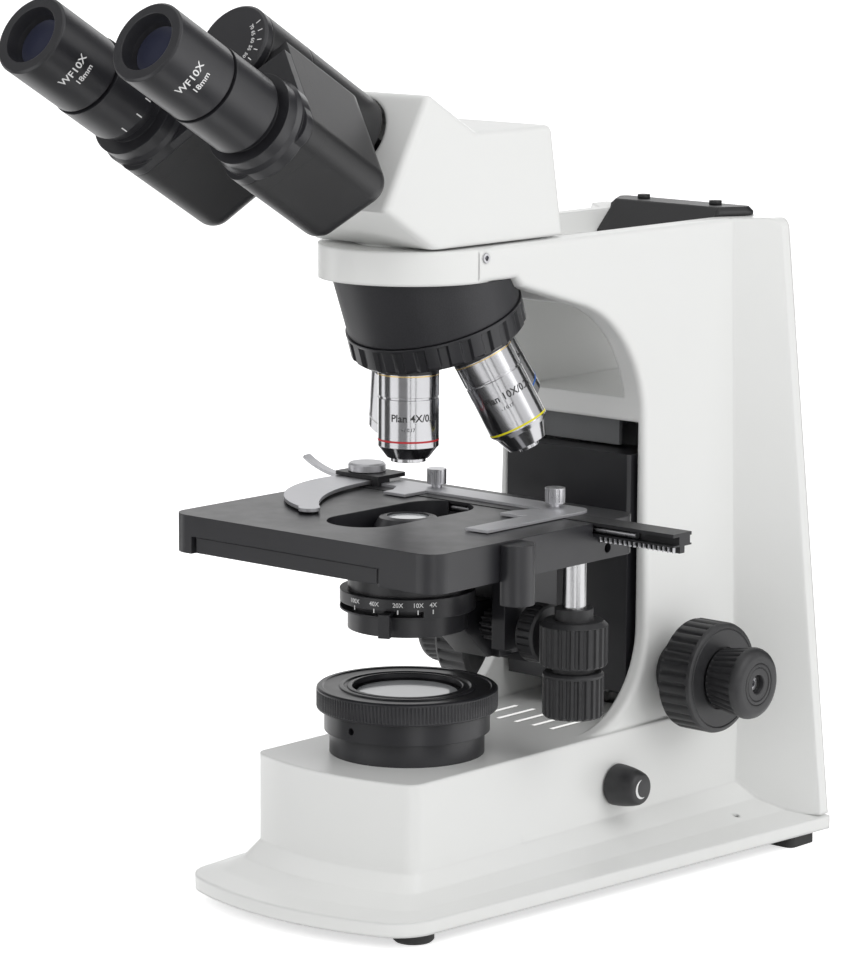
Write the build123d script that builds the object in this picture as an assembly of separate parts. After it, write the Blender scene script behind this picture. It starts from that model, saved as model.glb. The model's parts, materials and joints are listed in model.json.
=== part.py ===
from build123d import *
import math
import os

# Compound microscope with an inclined binocular head, in millimetres, +Z up.
# Pieces are modelled about the optical axis (x = 0, y = 0, table at z = 0) with the eyepieces towards -Y.
# They are written out about the middle of the footprint, which lies this far from the optical axis.
footprint_shift_x = -9.2
footprint_shift_y = -1.6

# Clearances
running_gap = 0.05
slide_gap = 0.3
groove_margin = 0.5
groove_flank = 0.7
seat_gap = 0.1

# Base
foot_height = 5.6
lip_top = 11.5
flare_top = 24.5
plateau_top = 61.5
base_front_half = 62.0
base_rear_half = 82.0
base_front_y = -68.0
base_front_bulge = 14.0
base_rear_y = 190.0
base_corner = 20.0
block_corner = 7.0
block_front_half = 44.0
block_rear_half = 45.0
block_front_y = -45.0
block_front_bulge = 8.0
base_wall = 7.0
base_plate_thickness = 2.0
plate_front_margin = 6.0
plate_rear_margin = 8.0
plate_corner = 10.0
vent_count = 5
vent_pitch = 10.0
vent_width = 2.2
vent_length = 25.0
vent_rear_gap = 45.0

# Arm and column
arm_top = 275.0
arm_half = 38.0
arm_low_half = 44.5
nose_radius = 37.5
nose_bottom = 261.0
nose_flat_y = 24.0
nose_step = 4.0
pocket_rear_y = 62.0
arm_edge = 2.5
wall_thickness = 9.0
arch_front_y = 107.0
arch_corner_z = 234.2
arch_radius = 54.5
arch_foot_radius = 42.0
recess_half = 36.5
recess_back_y = 160.0
shelf_top = 202.0
shelf_thickness = 10.0
grip_height = 44.0
deck_drop = 10.0
deck_front_y = 62.0
pocket_floor = 230.0
lock_screw_radius = 2.0
lock_screw_y = 4.0
lock_screw_z = arm_top - 4.0
flange_thickness = 6.0
flange_top_half = 53.0
flange_low_half = 81.0
flange_corner = 5.0
flange_sweep = 15.0
handle_front_y = 158.0
handle_rise = 4.0
handle_bevel = 13.0
handle_half = 41.0

# Feet and fasteners
front_foot_radius = 8.5
front_foot_x = 50.0
front_foot_y = -52.0
rear_foot_x = 70.0
rear_foot_y = 176.0
rear_foot_width = 16.0
rear_foot_depth = 18.0
screw_radius = 1.5
screw_head_radius = 2.8
screw_head_height = 1.8
screw_length = 9.0

# Lamp and field lens
drum_low_radius = 32.5
drum_mid_radius = 34.7
drum_step = 9.1
drum_bore = 24.0
drum_neck_radius = 26.0
drum_neck_height = 6.0
ring_lip = 2.2
ring_radius = 38.0
ring_height = 9.4
ring_knurls = 48
ring_knurl_depth = 0.45
field_lens_radius = 21.0
lamp_radius = 16.0
lamp_fin_count = 10

# Focus drive
focus_y = 123.0
focus_z = 83.0
coarse_radius = 24.0
coarse_width = 17.0
coarse_hub_radius = 19.0
coarse_inner_x = arm_low_half + 10.5
coarse_ribs = 30
fine_radius = 15.5
fine_width = 19.0
fine_ribs = 30
coarse_shaft_radius = 6.0
fine_shaft_radius = 3.0
dimmer_radius = 9.0
dimmer_tip_radius = 5.5
dimmer_length = 14.0
dimmer_shaft_radius = 3.0
dimmer_face_x = max(arm_low_half, block_rear_half)
dimmer_y = 84.0
dimmer_z = 39.0
socket_z = 40.0
inlet_x = -10.0
inlet_half = 14.0
inlet_half_height = 10.0
inlet_depth = 20.0
inlet_wall = 3.2
inlet_pin_pitch = 6.0
switch_x = 26.0
switch_half = 8.0
switch_half_height = 11.0
switch_pin_radius = 1.5
switch_pin_reach = 10.0
switch_pin_y = base_rear_y - 7.0

# Gear teeth
gear_module = 0.8
pinion_teeth = 15
tooth_share = 0.36
tooth_addendum = 0.64
tooth_dedendum = 0.90
pressure_angle = 20.0

# Carriage
carriage_half = 33.0
carriage_top = 175.0
carriage_bottom = 107.0
carriage_front_y = 105.0
skirt_bottom = 73.5
skirt_depth = 8.0
carriage_back_y = 127.5
tail_half = 16.0
guide_half = 8.0
guide_front_y = 141.3
rack_width = 8.0
rack_back_y = 133.0
arm_plate_top = 147.0
arm_plate_thickness = 10.0
arm_plate_inner = 18.0
arm_plate_outer = 30.0
arm_plate_front_y = 30.0
arm_plate_web_y = 52.0
cover_thickness = 1.5
cover_top = 178.0
cover_depth = 12.0
guide_plate_y = carriage_front_y + cover_depth + slide_gap
guide_plate_thickness = 2.0
guide_plate_bottom = cover_top + 1.0

# Stage
stage_half = 72.5
stage_front_y = -67.0
stage_rear_y = 63.0
stage_top = 162.5
stage_depth = 16.0
stage_slab = 8.0
stage_skirt = 4.0
stage_corner = 9.0
opening_half = 16.0
opening_front_y = -42.0
opening_rear_y = 33.0
lower_plate_thickness = 6.5
lower_plate_half = stage_half - 14.5
lower_plate_front_half = stage_half - 30.5
lower_plate_rear_y = 66.0

# Stage drive
drive_x = stage_half - 8.5
drive_y = 31.0
drive_tube_radius = 5.0
drive_core_radius = 2.5
upper_knob_radius = 14.2
upper_knob_top = 121.5
upper_knob_bottom = 102.5
lower_knob_radius = 12.75
lower_knob_bottom = 81.0
knob_neck = 2.5
knob_ribs = 24
collar_radius = 8.0
collar_height = 5.0

# Cross-travel bar and slide holder
bar_front_y = 32.5
bar_rear_y = 44.5
bar_top = 162.8
bar_bottom = 157.4
bar_left_x = -57.0
bar_right_x = 113.8
bar_flange = 1.4
rack_bar_drop = 3.1
rack_depth = 4.0
rail_radius = 1.3
rail_screw_radius = 1.5
holder_thickness = 1.2
holder_left_x = -50.0
holder_right_x = 57.0
holder_rear_y = 52.0
holder_front_y = 39.0
holder_reach_y = -16.0
holder_arm = 11.0
finger_pivot_x = -64.5
finger_pivot_y = 46.0
finger_radius = 8.2
finger_thickness = 1.5
finger_rise = 0.7
finger_pin_radius = 2.5
bridge_thickness = 1.7
finger_cap = 3.6

# Condenser
condenser_top = 161.3
condenser_lens_radius = 8.8
condenser_neck_radius = 14.0
condenser_body_radius = 25.0
condenser_ring_radius = 28.3
condenser_ring_top = 131.0
condenser_ring_bottom = 122.8
condenser_bottom = 114.0
iris_sweep = 55.0
condenser_knob_radius = 12.5
condenser_knob_x = 38.0
condenser_knob_width = 9.5
condenser_axis_y = 36.0
condenser_axis_z = 112.0
condenser_shaft_radius = 3.0
condenser_slide_front = 44.0
condenser_slide_back = 52.0
condenser_slide_bottom = 96.0
condenser_slide_top = 134.0
condenser_seat_radius = 20.0
condenser_screw_radius = 3.2
condenser_screw_x = 18.2
condenser_screw_sink = 4.0

# Nosepiece
turret_tilt = 19.5
turret_apex_z = 287.4
turret_radius = 37.3
turret_upper = 45.3
turret_lower = 56.5
turret_ribs = 24
objective_shoulder = 65.2
objective_drop = 0.8
objective_groove = 76.0
objective_seat = 76.2
objective_radius = 12.7
thread_radius = 10.0
pivot_radius = 6.0
light_bore = 11.0
mount_spigot_radius = light_bore + 5.0
head_socket_radius = 22.0

# Head
tube_slope = 30.0
head_face_y = -51.8
head_face_z = 293.1
head_base = 276.0
head_half = 33.0
head_face_height = 53.0
head_top_run = 34.0
head_top = 322.0
head_rear_top_y = 52.0
head_rear_base_y = 60.0
hinge_up = 32.0
hinge_radius = 17.0
hinge_front = 79.0
hinge_pin_radius = 6.0
arm_swing = 46.0
eye_half = 31.0
eye_half_narrow = 25.0
prism_back = 22.0
prism_front = 74.0
head_edge = 3.0
prism_corner = 9.0
prism_rear_edge = 8.0
prism_half = 20.0
prism_end = 17.0
flange_plate = 4.0
tube_radius = 16.7
tube_front = 115.0
tube_neck_radius = 14.0
ring_front = 86.0
eye_ring_radius = 19.3
eyepiece_radius = 16.3
eyepiece_front = 148.4
eyepiece_bore = 11.7
eyepiece_barrel = 11.6


def block(x0, x1, y0, y1, z0, z1):
    return Pos((x0 + x1) / 2, (y0 + y1) / 2, (z0 + z1) / 2) * Box(x1 - x0, y1 - y0, z1 - z0)


def disc(radius, z0, z1, x=0.0, y=0.0):
    return Pos(x, y, (z0 + z1) / 2) * Cylinder(radius, z1 - z0)


def rod_x(radius, x0, x1, y, z):
    return Pos((x0 + x1) / 2, y, z) * Rot(0, 90, 0) * Cylinder(radius, x1 - x0)


def rod_y(radius, y0, y1, x, z):
    return Pos(x, (y0 + y1) / 2, z) * Rot(90, 0, 0) * Cylinder(radius, y1 - y0)


def turned(points):
    return revolve(make_face(Plane.XZ * Polyline(*points, close=True)), Axis.Z)


def slab(points, z0, z1):
    return extrude(Pos(0, 0, z0) * make_face(Polyline(*points, close=True)), z1 - z0)


def side_solid(points, half):
    face = make_face(Plane.YZ * Polyline(*points, close=True))
    return extrude(face, half, both=True)


def flutes(radius, depth, count, z0, z1, floor=0.0):
    outer = radius + groove_margin
    half = floor / 2 + (depth + groove_margin) * groove_flank
    groove = Polyline(
        (radius - depth, floor / 2),
        (outer, half),
        (outer, -half),
        (radius - depth, -floor / 2),
        close=True,
    ) if floor else Polyline((radius - depth, 0), (outer, half), (outer, -half), close=True)
    cutter = extrude(Pos(0, 0, z0) * make_face(groove), z1 - z0)
    return Compound(PolarLocations(0, count) * cutter)


def turned_about_x(shape, x, y, z):
    return Pos(x, y, z) * Rot(0, 90, 0) * shape


# Gear teeth: a pinion about Z, and the teeth of a rack along X that point to +Y from the pitch line.
def pitch():
    return math.pi * gear_module


def pinion_radius():
    return gear_module * pinion_teeth / 2


def tooth_half(height):
    return tooth_share * pitch() / 2 - height * math.tan(math.radians(pressure_angle))


def pinion(height, bore):
    radius = pinion_radius()
    root = radius - tooth_dedendum
    tip = radius + tooth_addendum
    tooth = Polyline(
        (root - 0.4, -tooth_half(-tooth_dedendum)),
        (tip, -tooth_half(tooth_addendum)),
        (tip, tooth_half(tooth_addendum)),
        (root - 0.4, tooth_half(-tooth_dedendum)),
        close=True,
    )
    teeth = PolarLocations(0, pinion_teeth) * extrude(make_face(tooth), height)
    body = disc(root, 0, height) + teeth
    return body - disc(bore, -1, height + 1)


def rack(length, height, depth):
    count = int(length / pitch() / 2)
    body = block(-length / 2, length / 2, -depth, -tooth_dedendum, 0, height)
    low = -tooth_dedendum - 0.2
    tooth = Polyline(
        (-tooth_half(low), low),
        (-tooth_half(tooth_addendum), tooth_addendum),
        (tooth_half(tooth_addendum), tooth_addendum),
        (tooth_half(low), low),
        close=True,
    )
    one = extrude(make_face(tooth), height)
    for step in range(-count, count):
        body += Pos((step + 0.5) * pitch(), 0, 0) * one
    return body


# A rack stood on end, with its teeth towards -Y.
def upright_rack(strip, x, y, z):
    return Pos(x, y, z) * Rot(0, -90, 0) * Rot(0, 0, 180) * strip


# Base and arm in one casting.
def base_outline(front_half, rear_half, front_y, bulge, rear_y, corner):
    line = Polyline(
        (-front_half, front_y),
        (-rear_half, rear_y),
        (rear_half, rear_y),
        (front_half, front_y),
    )
    front = ThreePointArc((front_half, front_y), (0, front_y - bulge), (-front_half, front_y))
    face = make_face(line + front)
    front_corners = face.vertices().sort_by(Axis.Y)[:2]
    return fillet(front_corners, corner)


def base_body():
    foot = base_outline(
        base_front_half, base_rear_half, base_front_y, base_front_bulge, base_rear_y, base_corner
    )
    skirt = extrude(Pos(0, 0, foot_height) * foot, lip_top - foot_height)
    top = base_outline(
        block_front_half, block_rear_half, block_front_y, block_front_bulge, base_rear_y, block_corner
    )
    sections = []
    for share, height in ((0.0, 0.0), (0.4, 0.16), (0.75, 0.48), (1.0, 1.0)):
        mixed = base_outline(
            base_front_half + (block_front_half - base_front_half) * share,
            base_rear_half + (block_rear_half - base_rear_half) * share,
            base_front_y + (block_front_y - base_front_y) * share,
            base_front_bulge + (block_front_bulge - base_front_bulge) * share,
            base_rear_y,
            base_corner + (block_corner - base_corner) * share,
        )
        sections.append(Pos(0, 0, lip_top + (flare_top - lip_top) * height) * mixed)
    flare = loft(sections, ruled=True)
    upper = extrude(Pos(0, 0, flare_top) * top, plateau_top - flare_top)
    return skirt + flare + upper


def arm_profile():
    rear = base_rear_y - flange_thickness
    foot_y = arch_front_y - 2 * arch_foot_radius
    points = [
        (0, nose_bottom),
        (nose_flat_y, nose_bottom),
        (nose_flat_y + nose_step, nose_bottom - nose_step),
        (arch_front_y, arch_corner_z),
        (arch_front_y, plateau_top),
        (foot_y, plateau_top),
        (foot_y, flare_top),
        (rear, flare_top),
        (rear, arm_top),
        (0, arm_top),
    ]
    face = make_face(Polyline(*points, close=True))
    arch = face.vertices().sort_by_distance((arch_front_y, arch_corner_z))[0]
    face = fillet(arch, arch_radius)
    foot = face.vertices().sort_by_distance((arch_front_y, plateau_top))[0]
    face = fillet(foot, arch_foot_radius)
    return Plane.YZ * face


def arm_taper():
    section = Polyline(
        (-arm_low_half, plateau_top - 40),
        (-arm_half, nose_bottom),
        (-arm_half, arm_top + 1),
        (arm_half, arm_top + 1),
        (arm_half, nose_bottom),
        (arm_low_half, plateau_top - 40),
        close=True,
    )
    return extrude(make_face(Plane.XZ * section), base_rear_y, dir=(0, 1, 0))


def rounded_arm():
    arm = extrude(arm_profile(), arm_low_half + 5, both=True) & arm_taper()
    rims = [edge for edge in arm.edges() if abs(edge.center().X) > arm_half - 1]
    rims = [edge for edge in rims if edge.center().Z > plateau_top + 5 and edge.center().Y < base_rear_y - 15]
    rims = [edge for edge in rims if edge.center().Y > 2]
    return fillet(rims, arm_edge)


def rear_flange():
    low = flange_section(block_rear_half - 2, flange_low_half, flare_top - 12)
    high = flange_section(arm_half - 1, flange_top_half, arm_top)
    body = loft([low, high], ruled=True)
    corners = body.edges().filter_by(Axis.Y, tolerance=1).filter_by_position(Axis.Z, arm_top - 1, arm_top + 1)
    return fillet(corners, flange_corner)


def flange_section(inner, outer, height):
    front = base_rear_y - flange_thickness
    start = front - flange_sweep
    points = [
        (inner, start),
        (outer, front),
        (outer, base_rear_y),
        (-outer, base_rear_y),
        (-outer, front),
        (-inner, start),
    ]
    return Pos(0, 0, height) * make_face(Polyline(*points, close=True))


def vent_slots():
    slots = []
    start = -vent_pitch * (vent_count - 1) / 2
    for index in range(vent_count):
        slot = Box(vent_width, vent_length, 30)
        slots.append(Pos(start + index * vent_pitch, ring_radius + vent_rear_gap, plateau_top) * slot)
    return Compound(slots)


def stand_casting():
    body = base_body()
    arm = rounded_arm()
    nose = disc(nose_radius, nose_bottom, arm_top)
    body = body + arm + nose + rear_flange()
    inner = arm_half - wall_thickness
    body -= block(-recess_half, recess_half, 40, recess_back_y, plateau_top, shelf_top - shelf_thickness)
    well = tail_half + slide_gap
    well_floor = plateau_top - base_wall - 1
    body -= block(-well, well, focus_y + 4, recess_back_y - 4, well_floor, plateau_top + 1)
    body -= block(-inner, inner, 40, base_rear_y + 5, shelf_top, shelf_top + grip_height)
    body -= block(-inner, inner, nose_flat_y, pocket_rear_y, pocket_floor, nose_bottom)
    deck = arm_top - deck_drop
    body -= block(-inner, inner, deck_front_y, handle_front_y, deck, arm_top + 5)
    body -= block(-inner, inner, handle_front_y - seat_gap, base_rear_y + 5, deck - handle_bevel, arm_top + 5)
    cavity = base_outline(
        block_front_half - base_wall,
        block_rear_half - base_wall,
        block_front_y + base_wall,
        block_front_bulge,
        base_rear_y - base_wall,
        4,
    )
    body -= extrude(Pos(0, 0, foot_height - 1) * cavity, plateau_top - base_wall - foot_height + 1)
    body -= extrude(Pos(0, 0, foot_height - 1) * plate_outline(0), base_plate_thickness + 1)
    body -= disc(lamp_radius + 2, plateau_top - 20, plateau_top + 5)
    body -= vent_slots()
    bore = coarse_shaft_radius + running_gap
    body -= rod_x(bore, -arm_low_half - 5, arm_low_half + 5, focus_y, focus_z)
    body -= rod_x(dimmer_shaft_radius + running_gap, 20, arm_low_half + 20, dimmer_y, dimmer_z)
    body -= disc(mount_spigot_radius, nose_bottom - 20, arm_top - 6)
    body -= disc(head_socket_radius, arm_top - 6, arm_top + 5)
    body -= rod_x(lock_screw_radius, 20, arm_half + 5, lock_screw_y, lock_screw_z)
    body -= rear_window(inlet_x, inlet_half, inlet_half_height)
    body -= rear_window(switch_x, switch_half, switch_half_height)
    pin_reach = switch_pin_reach + 1
    pin_bore = switch_pin_radius + running_gap
    body -= rod_x(pin_bore, switch_x - pin_reach, switch_x + pin_reach, switch_pin_y, socket_z)
    for x, y in plate_screw_places():
        body -= disc(screw_radius, foot_height, foot_height + screw_length + 2, x, y)
    return body


def rear_window(x, half, half_height):
    front = base_rear_y - inlet_depth
    return block(x - half, x + half, front, base_rear_y + 5, socket_z - half_height, socket_z + half_height)


def plate_outline(gap):
    return base_outline(
        base_front_half - plate_front_margin - gap,
        base_rear_half - plate_rear_margin - gap,
        base_front_y + plate_rear_margin + gap,
        base_front_bulge,
        base_rear_y - plate_rear_margin - gap,
        plate_corner,
    )


def plate_screw_places():
    return ((-30, -50), (30, -50), (-60, 150), (60, 150))


def handle_screw_places():
    return (-20.0, 20.0)


def handle_screw_y():
    return (handle_front_y + handle_bevel + base_rear_y) / 2


def base_plate():
    plate = extrude(Pos(0, 0, foot_height) * plate_outline(slide_gap), base_plate_thickness)
    for x, y in plate_screw_places():
        plate -= disc(screw_radius + seat_gap, 0, 20, x, y)
    return plate


def rubber_feet():
    feet = []
    for side in (-1, 1):
        front = disc(front_foot_radius, 0, foot_height)
        front = chamfer(front.edges().sort_by(Axis.Z)[0], 1)
        feet.append(Pos(side * front_foot_x, front_foot_y, 0) * front)
        pad = Box(rear_foot_width, rear_foot_depth, foot_height)
        pad = fillet(pad.edges().filter_by(Axis.Z), 3)
        feet.append(Pos(side * rear_foot_x, rear_foot_y, foot_height / 2) * pad)
    return Compound(feet)


def housing_screw():
    slot = Box(2 * screw_head_radius + 1, 0.7, 1.2)
    head = disc(screw_head_radius, -screw_head_height, 0) - Pos(0, 0, -screw_head_height) * slot
    return head + disc(screw_radius - seat_gap, 0, screw_length)


def housing_screws():
    screws = []
    for x, y in plate_screw_places():
        screws.append(Pos(x, y, foot_height) * housing_screw())
    top = arm_top + handle_rise
    for x in handle_screw_places():
        turned_over = Rot(180, 0, 0) * housing_screw()
        screws.append(Pos(x, handle_screw_y(), top) * turned_over)
    return Compound(screws)


def handle_cover():
    half = arm_half - wall_thickness - slide_gap
    top = arm_top + handle_rise
    low = arm_top - deck_drop - handle_bevel
    front = handle_front_y + slide_gap
    cover = side_solid(
        [
            (front, low),
            (base_rear_y - 1, low),
            (base_rear_y - 1, top - 3),
            (base_rear_y - 4, top),
            (front + handle_bevel, top),
            (front, top - handle_bevel),
        ],
        half,
    )
    cap_low = arm_top + slide_gap
    rear = base_rear_y - 1.5
    start = front + 9
    plan = Polyline((-half, start), (half, start), (handle_half, rear), (-handle_half, rear), close=True)
    plan = make_face(plan)
    plan = fillet(plan.vertices().sort_by(Axis.Y)[-2:], 5)
    cap = extrude(Pos(0, 0, cap_low) * plan, top - cap_low)
    cap = chamfer(cap.faces().sort_by(Axis.Z)[-1].edges(), 2)
    bevel = [
        (front, cap_low - handle_bevel),
        (front + handle_bevel, top),
        (base_rear_y, top),
        (base_rear_y, shelf_top),
    ]
    cover += cap & side_solid(bevel, handle_half + 10)
    for x in handle_screw_places():
        cover -= disc(screw_radius, top - 15, top + 1, x, handle_screw_y())
    return cover


def head_lock_screw():
    screw = rod_x(lock_screw_radius - running_gap, 23, arm_half + 0.6, lock_screw_y, lock_screw_z)
    socket = extrude(Plane.YZ * RegularPolygon(1.2, 6), 2.5)
    return screw - Pos(arm_half - 1.5, lock_screw_y, lock_screw_z) * socket


# Lamp, field lens and electrical parts.
def field_lens_housing():
    low = plateau_top
    drum = turned(
        [
            (drum_bore, low),
            (drum_low_radius, low),
            (drum_low_radius, low + drum_step),
            (drum_mid_radius, low + drum_step + 0.4),
            (drum_mid_radius, low + 2 * drum_step),
            (drum_neck_radius, low + 2 * drum_step),
            (drum_neck_radius, low + 2 * drum_step + drum_neck_height),
            (drum_bore, low + 2 * drum_step + drum_neck_height),
        ]
    )
    return drum - rod_y(1.5, -40, -28, 0, low + 1.5 * drum_step)


def field_ring():
    low = plateau_top + 2 * drum_step + slide_gap
    lip = low + ring_height - ring_lip
    ring = turned(
        [
            (drum_neck_radius + running_gap, low),
            (ring_radius, low),
            (ring_radius, low + ring_height - 1),
            (ring_radius - 1, low + ring_height),
            (field_lens_radius + 2, low + ring_height),
            (field_lens_radius + 2, lip),
            (drum_neck_radius + running_gap, lip),
        ]
    )
    return ring - flutes(ring_radius, ring_knurl_depth, ring_knurls, low + 0.8, low + ring_height - 1.2)


def field_lens():
    low = plateau_top + 2 * drum_step
    return disc(23.6, low - 2, low + 4) + disc(field_lens_radius, low + 4, low + 7)


def lamp_module():
    roof = plateau_top - base_wall
    sink = disc(lamp_radius, roof - 22, roof)
    for index in range(lamp_fin_count):
        angle = 360 / lamp_fin_count * index
        slot = Pos(12, 0, roof - 14) * Box(14, 2, 17)
        sink -= Rot(0, 0, angle) * slot
    return sink + disc(lamp_radius + 8, roof - 3, roof) + disc(5, roof, roof + 2)


def circuit_board():
    board = block(-30, 30, 60, 130, 16, 17.6)
    chips = block(-20, -8, 70, 84, 17.6, 24)
    chips += block(6, 22, 90, 112, 17.6, 30)
    chips += block(-24, -10, 96, 122, 17.6, 26)
    floor = foot_height + base_plate_thickness
    posts = Compound([disc(3, floor, 16, x, y) for x in (-25, 25) for y in (65, 125)])
    return board + chips + posts


def power_inlet():
    half = inlet_half - slide_gap
    rise = inlet_half_height - slide_gap
    back = base_rear_y + 1
    inlet = block(inlet_x - half, inlet_x + half, back - 19, back, socket_z - rise, socket_z + rise)
    inlet = fillet(inlet.edges().filter_by(Axis.Y), 2)
    half -= inlet_wall
    rise -= inlet_wall - 0.5
    inlet -= block(inlet_x - half, inlet_x + half, back - 14, back + 1, socket_z - rise, socket_z + rise)
    for x in (inlet_x - inlet_pin_pitch, inlet_x, inlet_x + inlet_pin_pitch):
        inlet += block(x - 1, x + 1, back - 15, back - 5, socket_z - 2, socket_z + 2)
    return inlet


def power_switch():
    root = base_rear_y - 12
    rocker = side_solid(
        [
            (root, socket_z - 6),
            (base_rear_y + 2.2, socket_z - 9),
            (base_rear_y + 0.4, socket_z),
            (base_rear_y + 0.9, socket_z + 9),
            (root, socket_z + 6),
        ],
        switch_half - 2,
    )
    left = switch_x - switch_pin_reach
    right = switch_x + switch_pin_reach
    return Pos(switch_x, 0, 0) * rocker + rod_x(switch_pin_radius, left, right, switch_pin_y, socket_z)


def dimmer_knob():
    knob = turned(
        [
            (0, 0),
            (dimmer_radius, 0),
            (dimmer_radius, 3),
            (dimmer_tip_radius, dimmer_length),
            (0, dimmer_length),
        ]
    )
    shaft = disc(dimmer_shaft_radius, -16, 0)
    return turned_about_x(knob + shaft, dimmer_face_x + slide_gap, dimmer_y, dimmer_z)


# Focus drive.
def coarse_knob(side):
    width = coarse_width
    hub_back = arm_low_half + 3 * slide_gap - coarse_inner_x
    knob = turned(
        [
            (coarse_shaft_radius, hub_back),
            (coarse_hub_radius, hub_back),
            (coarse_hub_radius, 0),
            (coarse_radius - 2, 0),
            (coarse_radius, 1.5),
            (coarse_radius, width - 1.5),
            (coarse_radius - 1.5, width),
            (fine_radius - 2, width),
            (fine_radius - 2, width - 1.5),
            (coarse_shaft_radius, width - 1.5),
        ]
    )
    knob -= flutes(coarse_radius, 1.1, coarse_ribs, 1, width - 2, 1.3)
    knob = turned_about_x(knob, coarse_inner_x, focus_y, focus_z)
    return knob if side > 0 else mirror(knob, Plane.YZ)


def coarse_shaft():
    reach = coarse_inner_x + coarse_width - 1.5
    shaft = rod_x(coarse_shaft_radius - 0.9, -reach, reach, focus_y, focus_z)
    for side in (-1, 1):
        sleeve = rod_x(coarse_shaft_radius, 29, reach, focus_y, focus_z)
        shaft += sleeve if side > 0 else mirror(sleeve, Plane.YZ)
    gear = Rot(0, 0, 90) * pinion(rack_width, 1)
    shaft += Pos(-rack_width / 2, focus_y, focus_z) * Rot(0, 90, 0) * gear
    return shaft - rod_x(fine_shaft_radius + running_gap, -100, 100, focus_y, focus_z)


def fine_knob(side):
    start = coarse_width + slide_gap
    end = coarse_width + fine_width
    knob = turned(
        [
            (fine_shaft_radius, start),
            (fine_radius, start),
            (fine_radius, end - 2.4),
            (fine_radius - 0.8, end - 0.8),
            (fine_radius - 2.4, end),
            (10, end),
            (9, end - 0.8),
            (4, end - 0.8),
            (4, end - 3),
            (fine_shaft_radius, end - 3),
        ]
    )
    knob -= flutes(fine_radius, 0.8, fine_ribs, start - 1, end - 4, 0.9)
    knob = turned_about_x(knob, coarse_inner_x, focus_y, focus_z)
    return knob if side > 0 else mirror(knob, Plane.YZ)


def fine_shaft():
    reach = coarse_inner_x + coarse_width + fine_width - 3
    shaft = rod_x(fine_shaft_radius, -reach, reach, focus_y, focus_z)
    socket = extrude(Plane.YZ * RegularPolygon(1.6, 6), 4)
    return shaft - Pos(reach - 3, focus_y, focus_z) * socket


def focus_guide():
    rail_top = shelf_top - shelf_thickness - 2
    rail = block(-guide_half, guide_half, guide_front_y, recess_back_y, plateau_top + 1, rail_top)
    plate_back = guide_plate_y + guide_plate_thickness
    plate = block(-28.5, 18, guide_plate_y, plate_back, guide_plate_bottom, rail_top + 1.9)
    web = block(-3, 3, plate_back - 1, guide_front_y + 1, rail_top - 6, rail_top)
    return rail + plate + web


# Carriage that rides up and down on the guide.
def focus_carriage():
    half = carriage_half
    front = carriage_front_y
    body = block(-half, half, front, carriage_back_y, carriage_bottom, carriage_top)
    body += block(-half, half, front, front + skirt_depth, skirt_bottom, carriage_bottom + 1)
    body += block(-tail_half, tail_half, carriage_back_y - 1, 155, carriage_bottom, carriage_top)
    body += block(-tail_half, tail_half, rack_back_y, 155, 66, carriage_bottom + 1)
    inner = guide_half + slide_gap
    body -= block(-inner, inner, guide_front_y - slide_gap, 160, 60, 180)
    arm_low = arm_plate_top - arm_plate_thickness
    inner = arm_plate_inner
    outer = arm_plate_outer
    rear = front + 1
    body += block(-outer, -inner, arm_plate_front_y, rear, arm_low, arm_plate_top)
    body += block(inner, outer, arm_plate_front_y, rear, arm_low, arm_plate_top)
    body += block(-outer, outer, arm_plate_web_y, rear, arm_low, arm_plate_top)
    body += block(-22, 22, condenser_slide_back + slide_gap, 60, 94, arm_low + 1)
    ear = block(24, 31, 26, 60, 104, arm_low + 1)
    bore = rod_x(condenser_shaft_radius + running_gap, 10, 40, condenser_axis_y, condenser_axis_z)
    return body + ear + block(20, 25, 54, 60, 104, arm_low) - bore


def focus_rack():
    strip = rack(40, rack_width, rack_back_y - focus_y - pinion_radius())
    return upright_rack(strip, rack_width / 2, focus_y + pinion_radius(), focus_z + pitch())


def carriage_cover():
    half = carriage_half + cover_thickness
    low = arm_plate_top + slide_gap
    back = carriage_front_y + cover_depth
    shell = block(-half, half, carriage_front_y - cover_thickness, back, low, cover_top)
    shell = chamfer(shell.edges().filter_by(Axis.Z).group_by(Axis.Y)[0], cover_thickness - slide_gap)
    inside = block(-carriage_half, carriage_half, carriage_front_y, back + 8, low - 1, carriage_top)
    return shell - inside


# Stage.
def stage_lower_plate():
    low = arm_plate_top
    high = low + lower_plate_thickness
    front = stage_front_y + 1
    plate = slab(
        [
            (-lower_plate_half, front),
            (lower_plate_front_half, front),
            (lower_plate_front_half, -8),
            (lower_plate_half - 4, -8),
            (lower_plate_half - 4, lower_plate_rear_y),
            (-lower_plate_half, lower_plate_rear_y),
        ],
        low,
        high,
    )
    teeth = rack(64, 5, 6)
    teeth = Pos(drive_x - pinion_radius(), drive_y, low) * Rot(0, 0, -90) * teeth
    plate += teeth
    return plate - disc(condenser_body_radius + 2, low - 1, high + 1)


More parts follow.
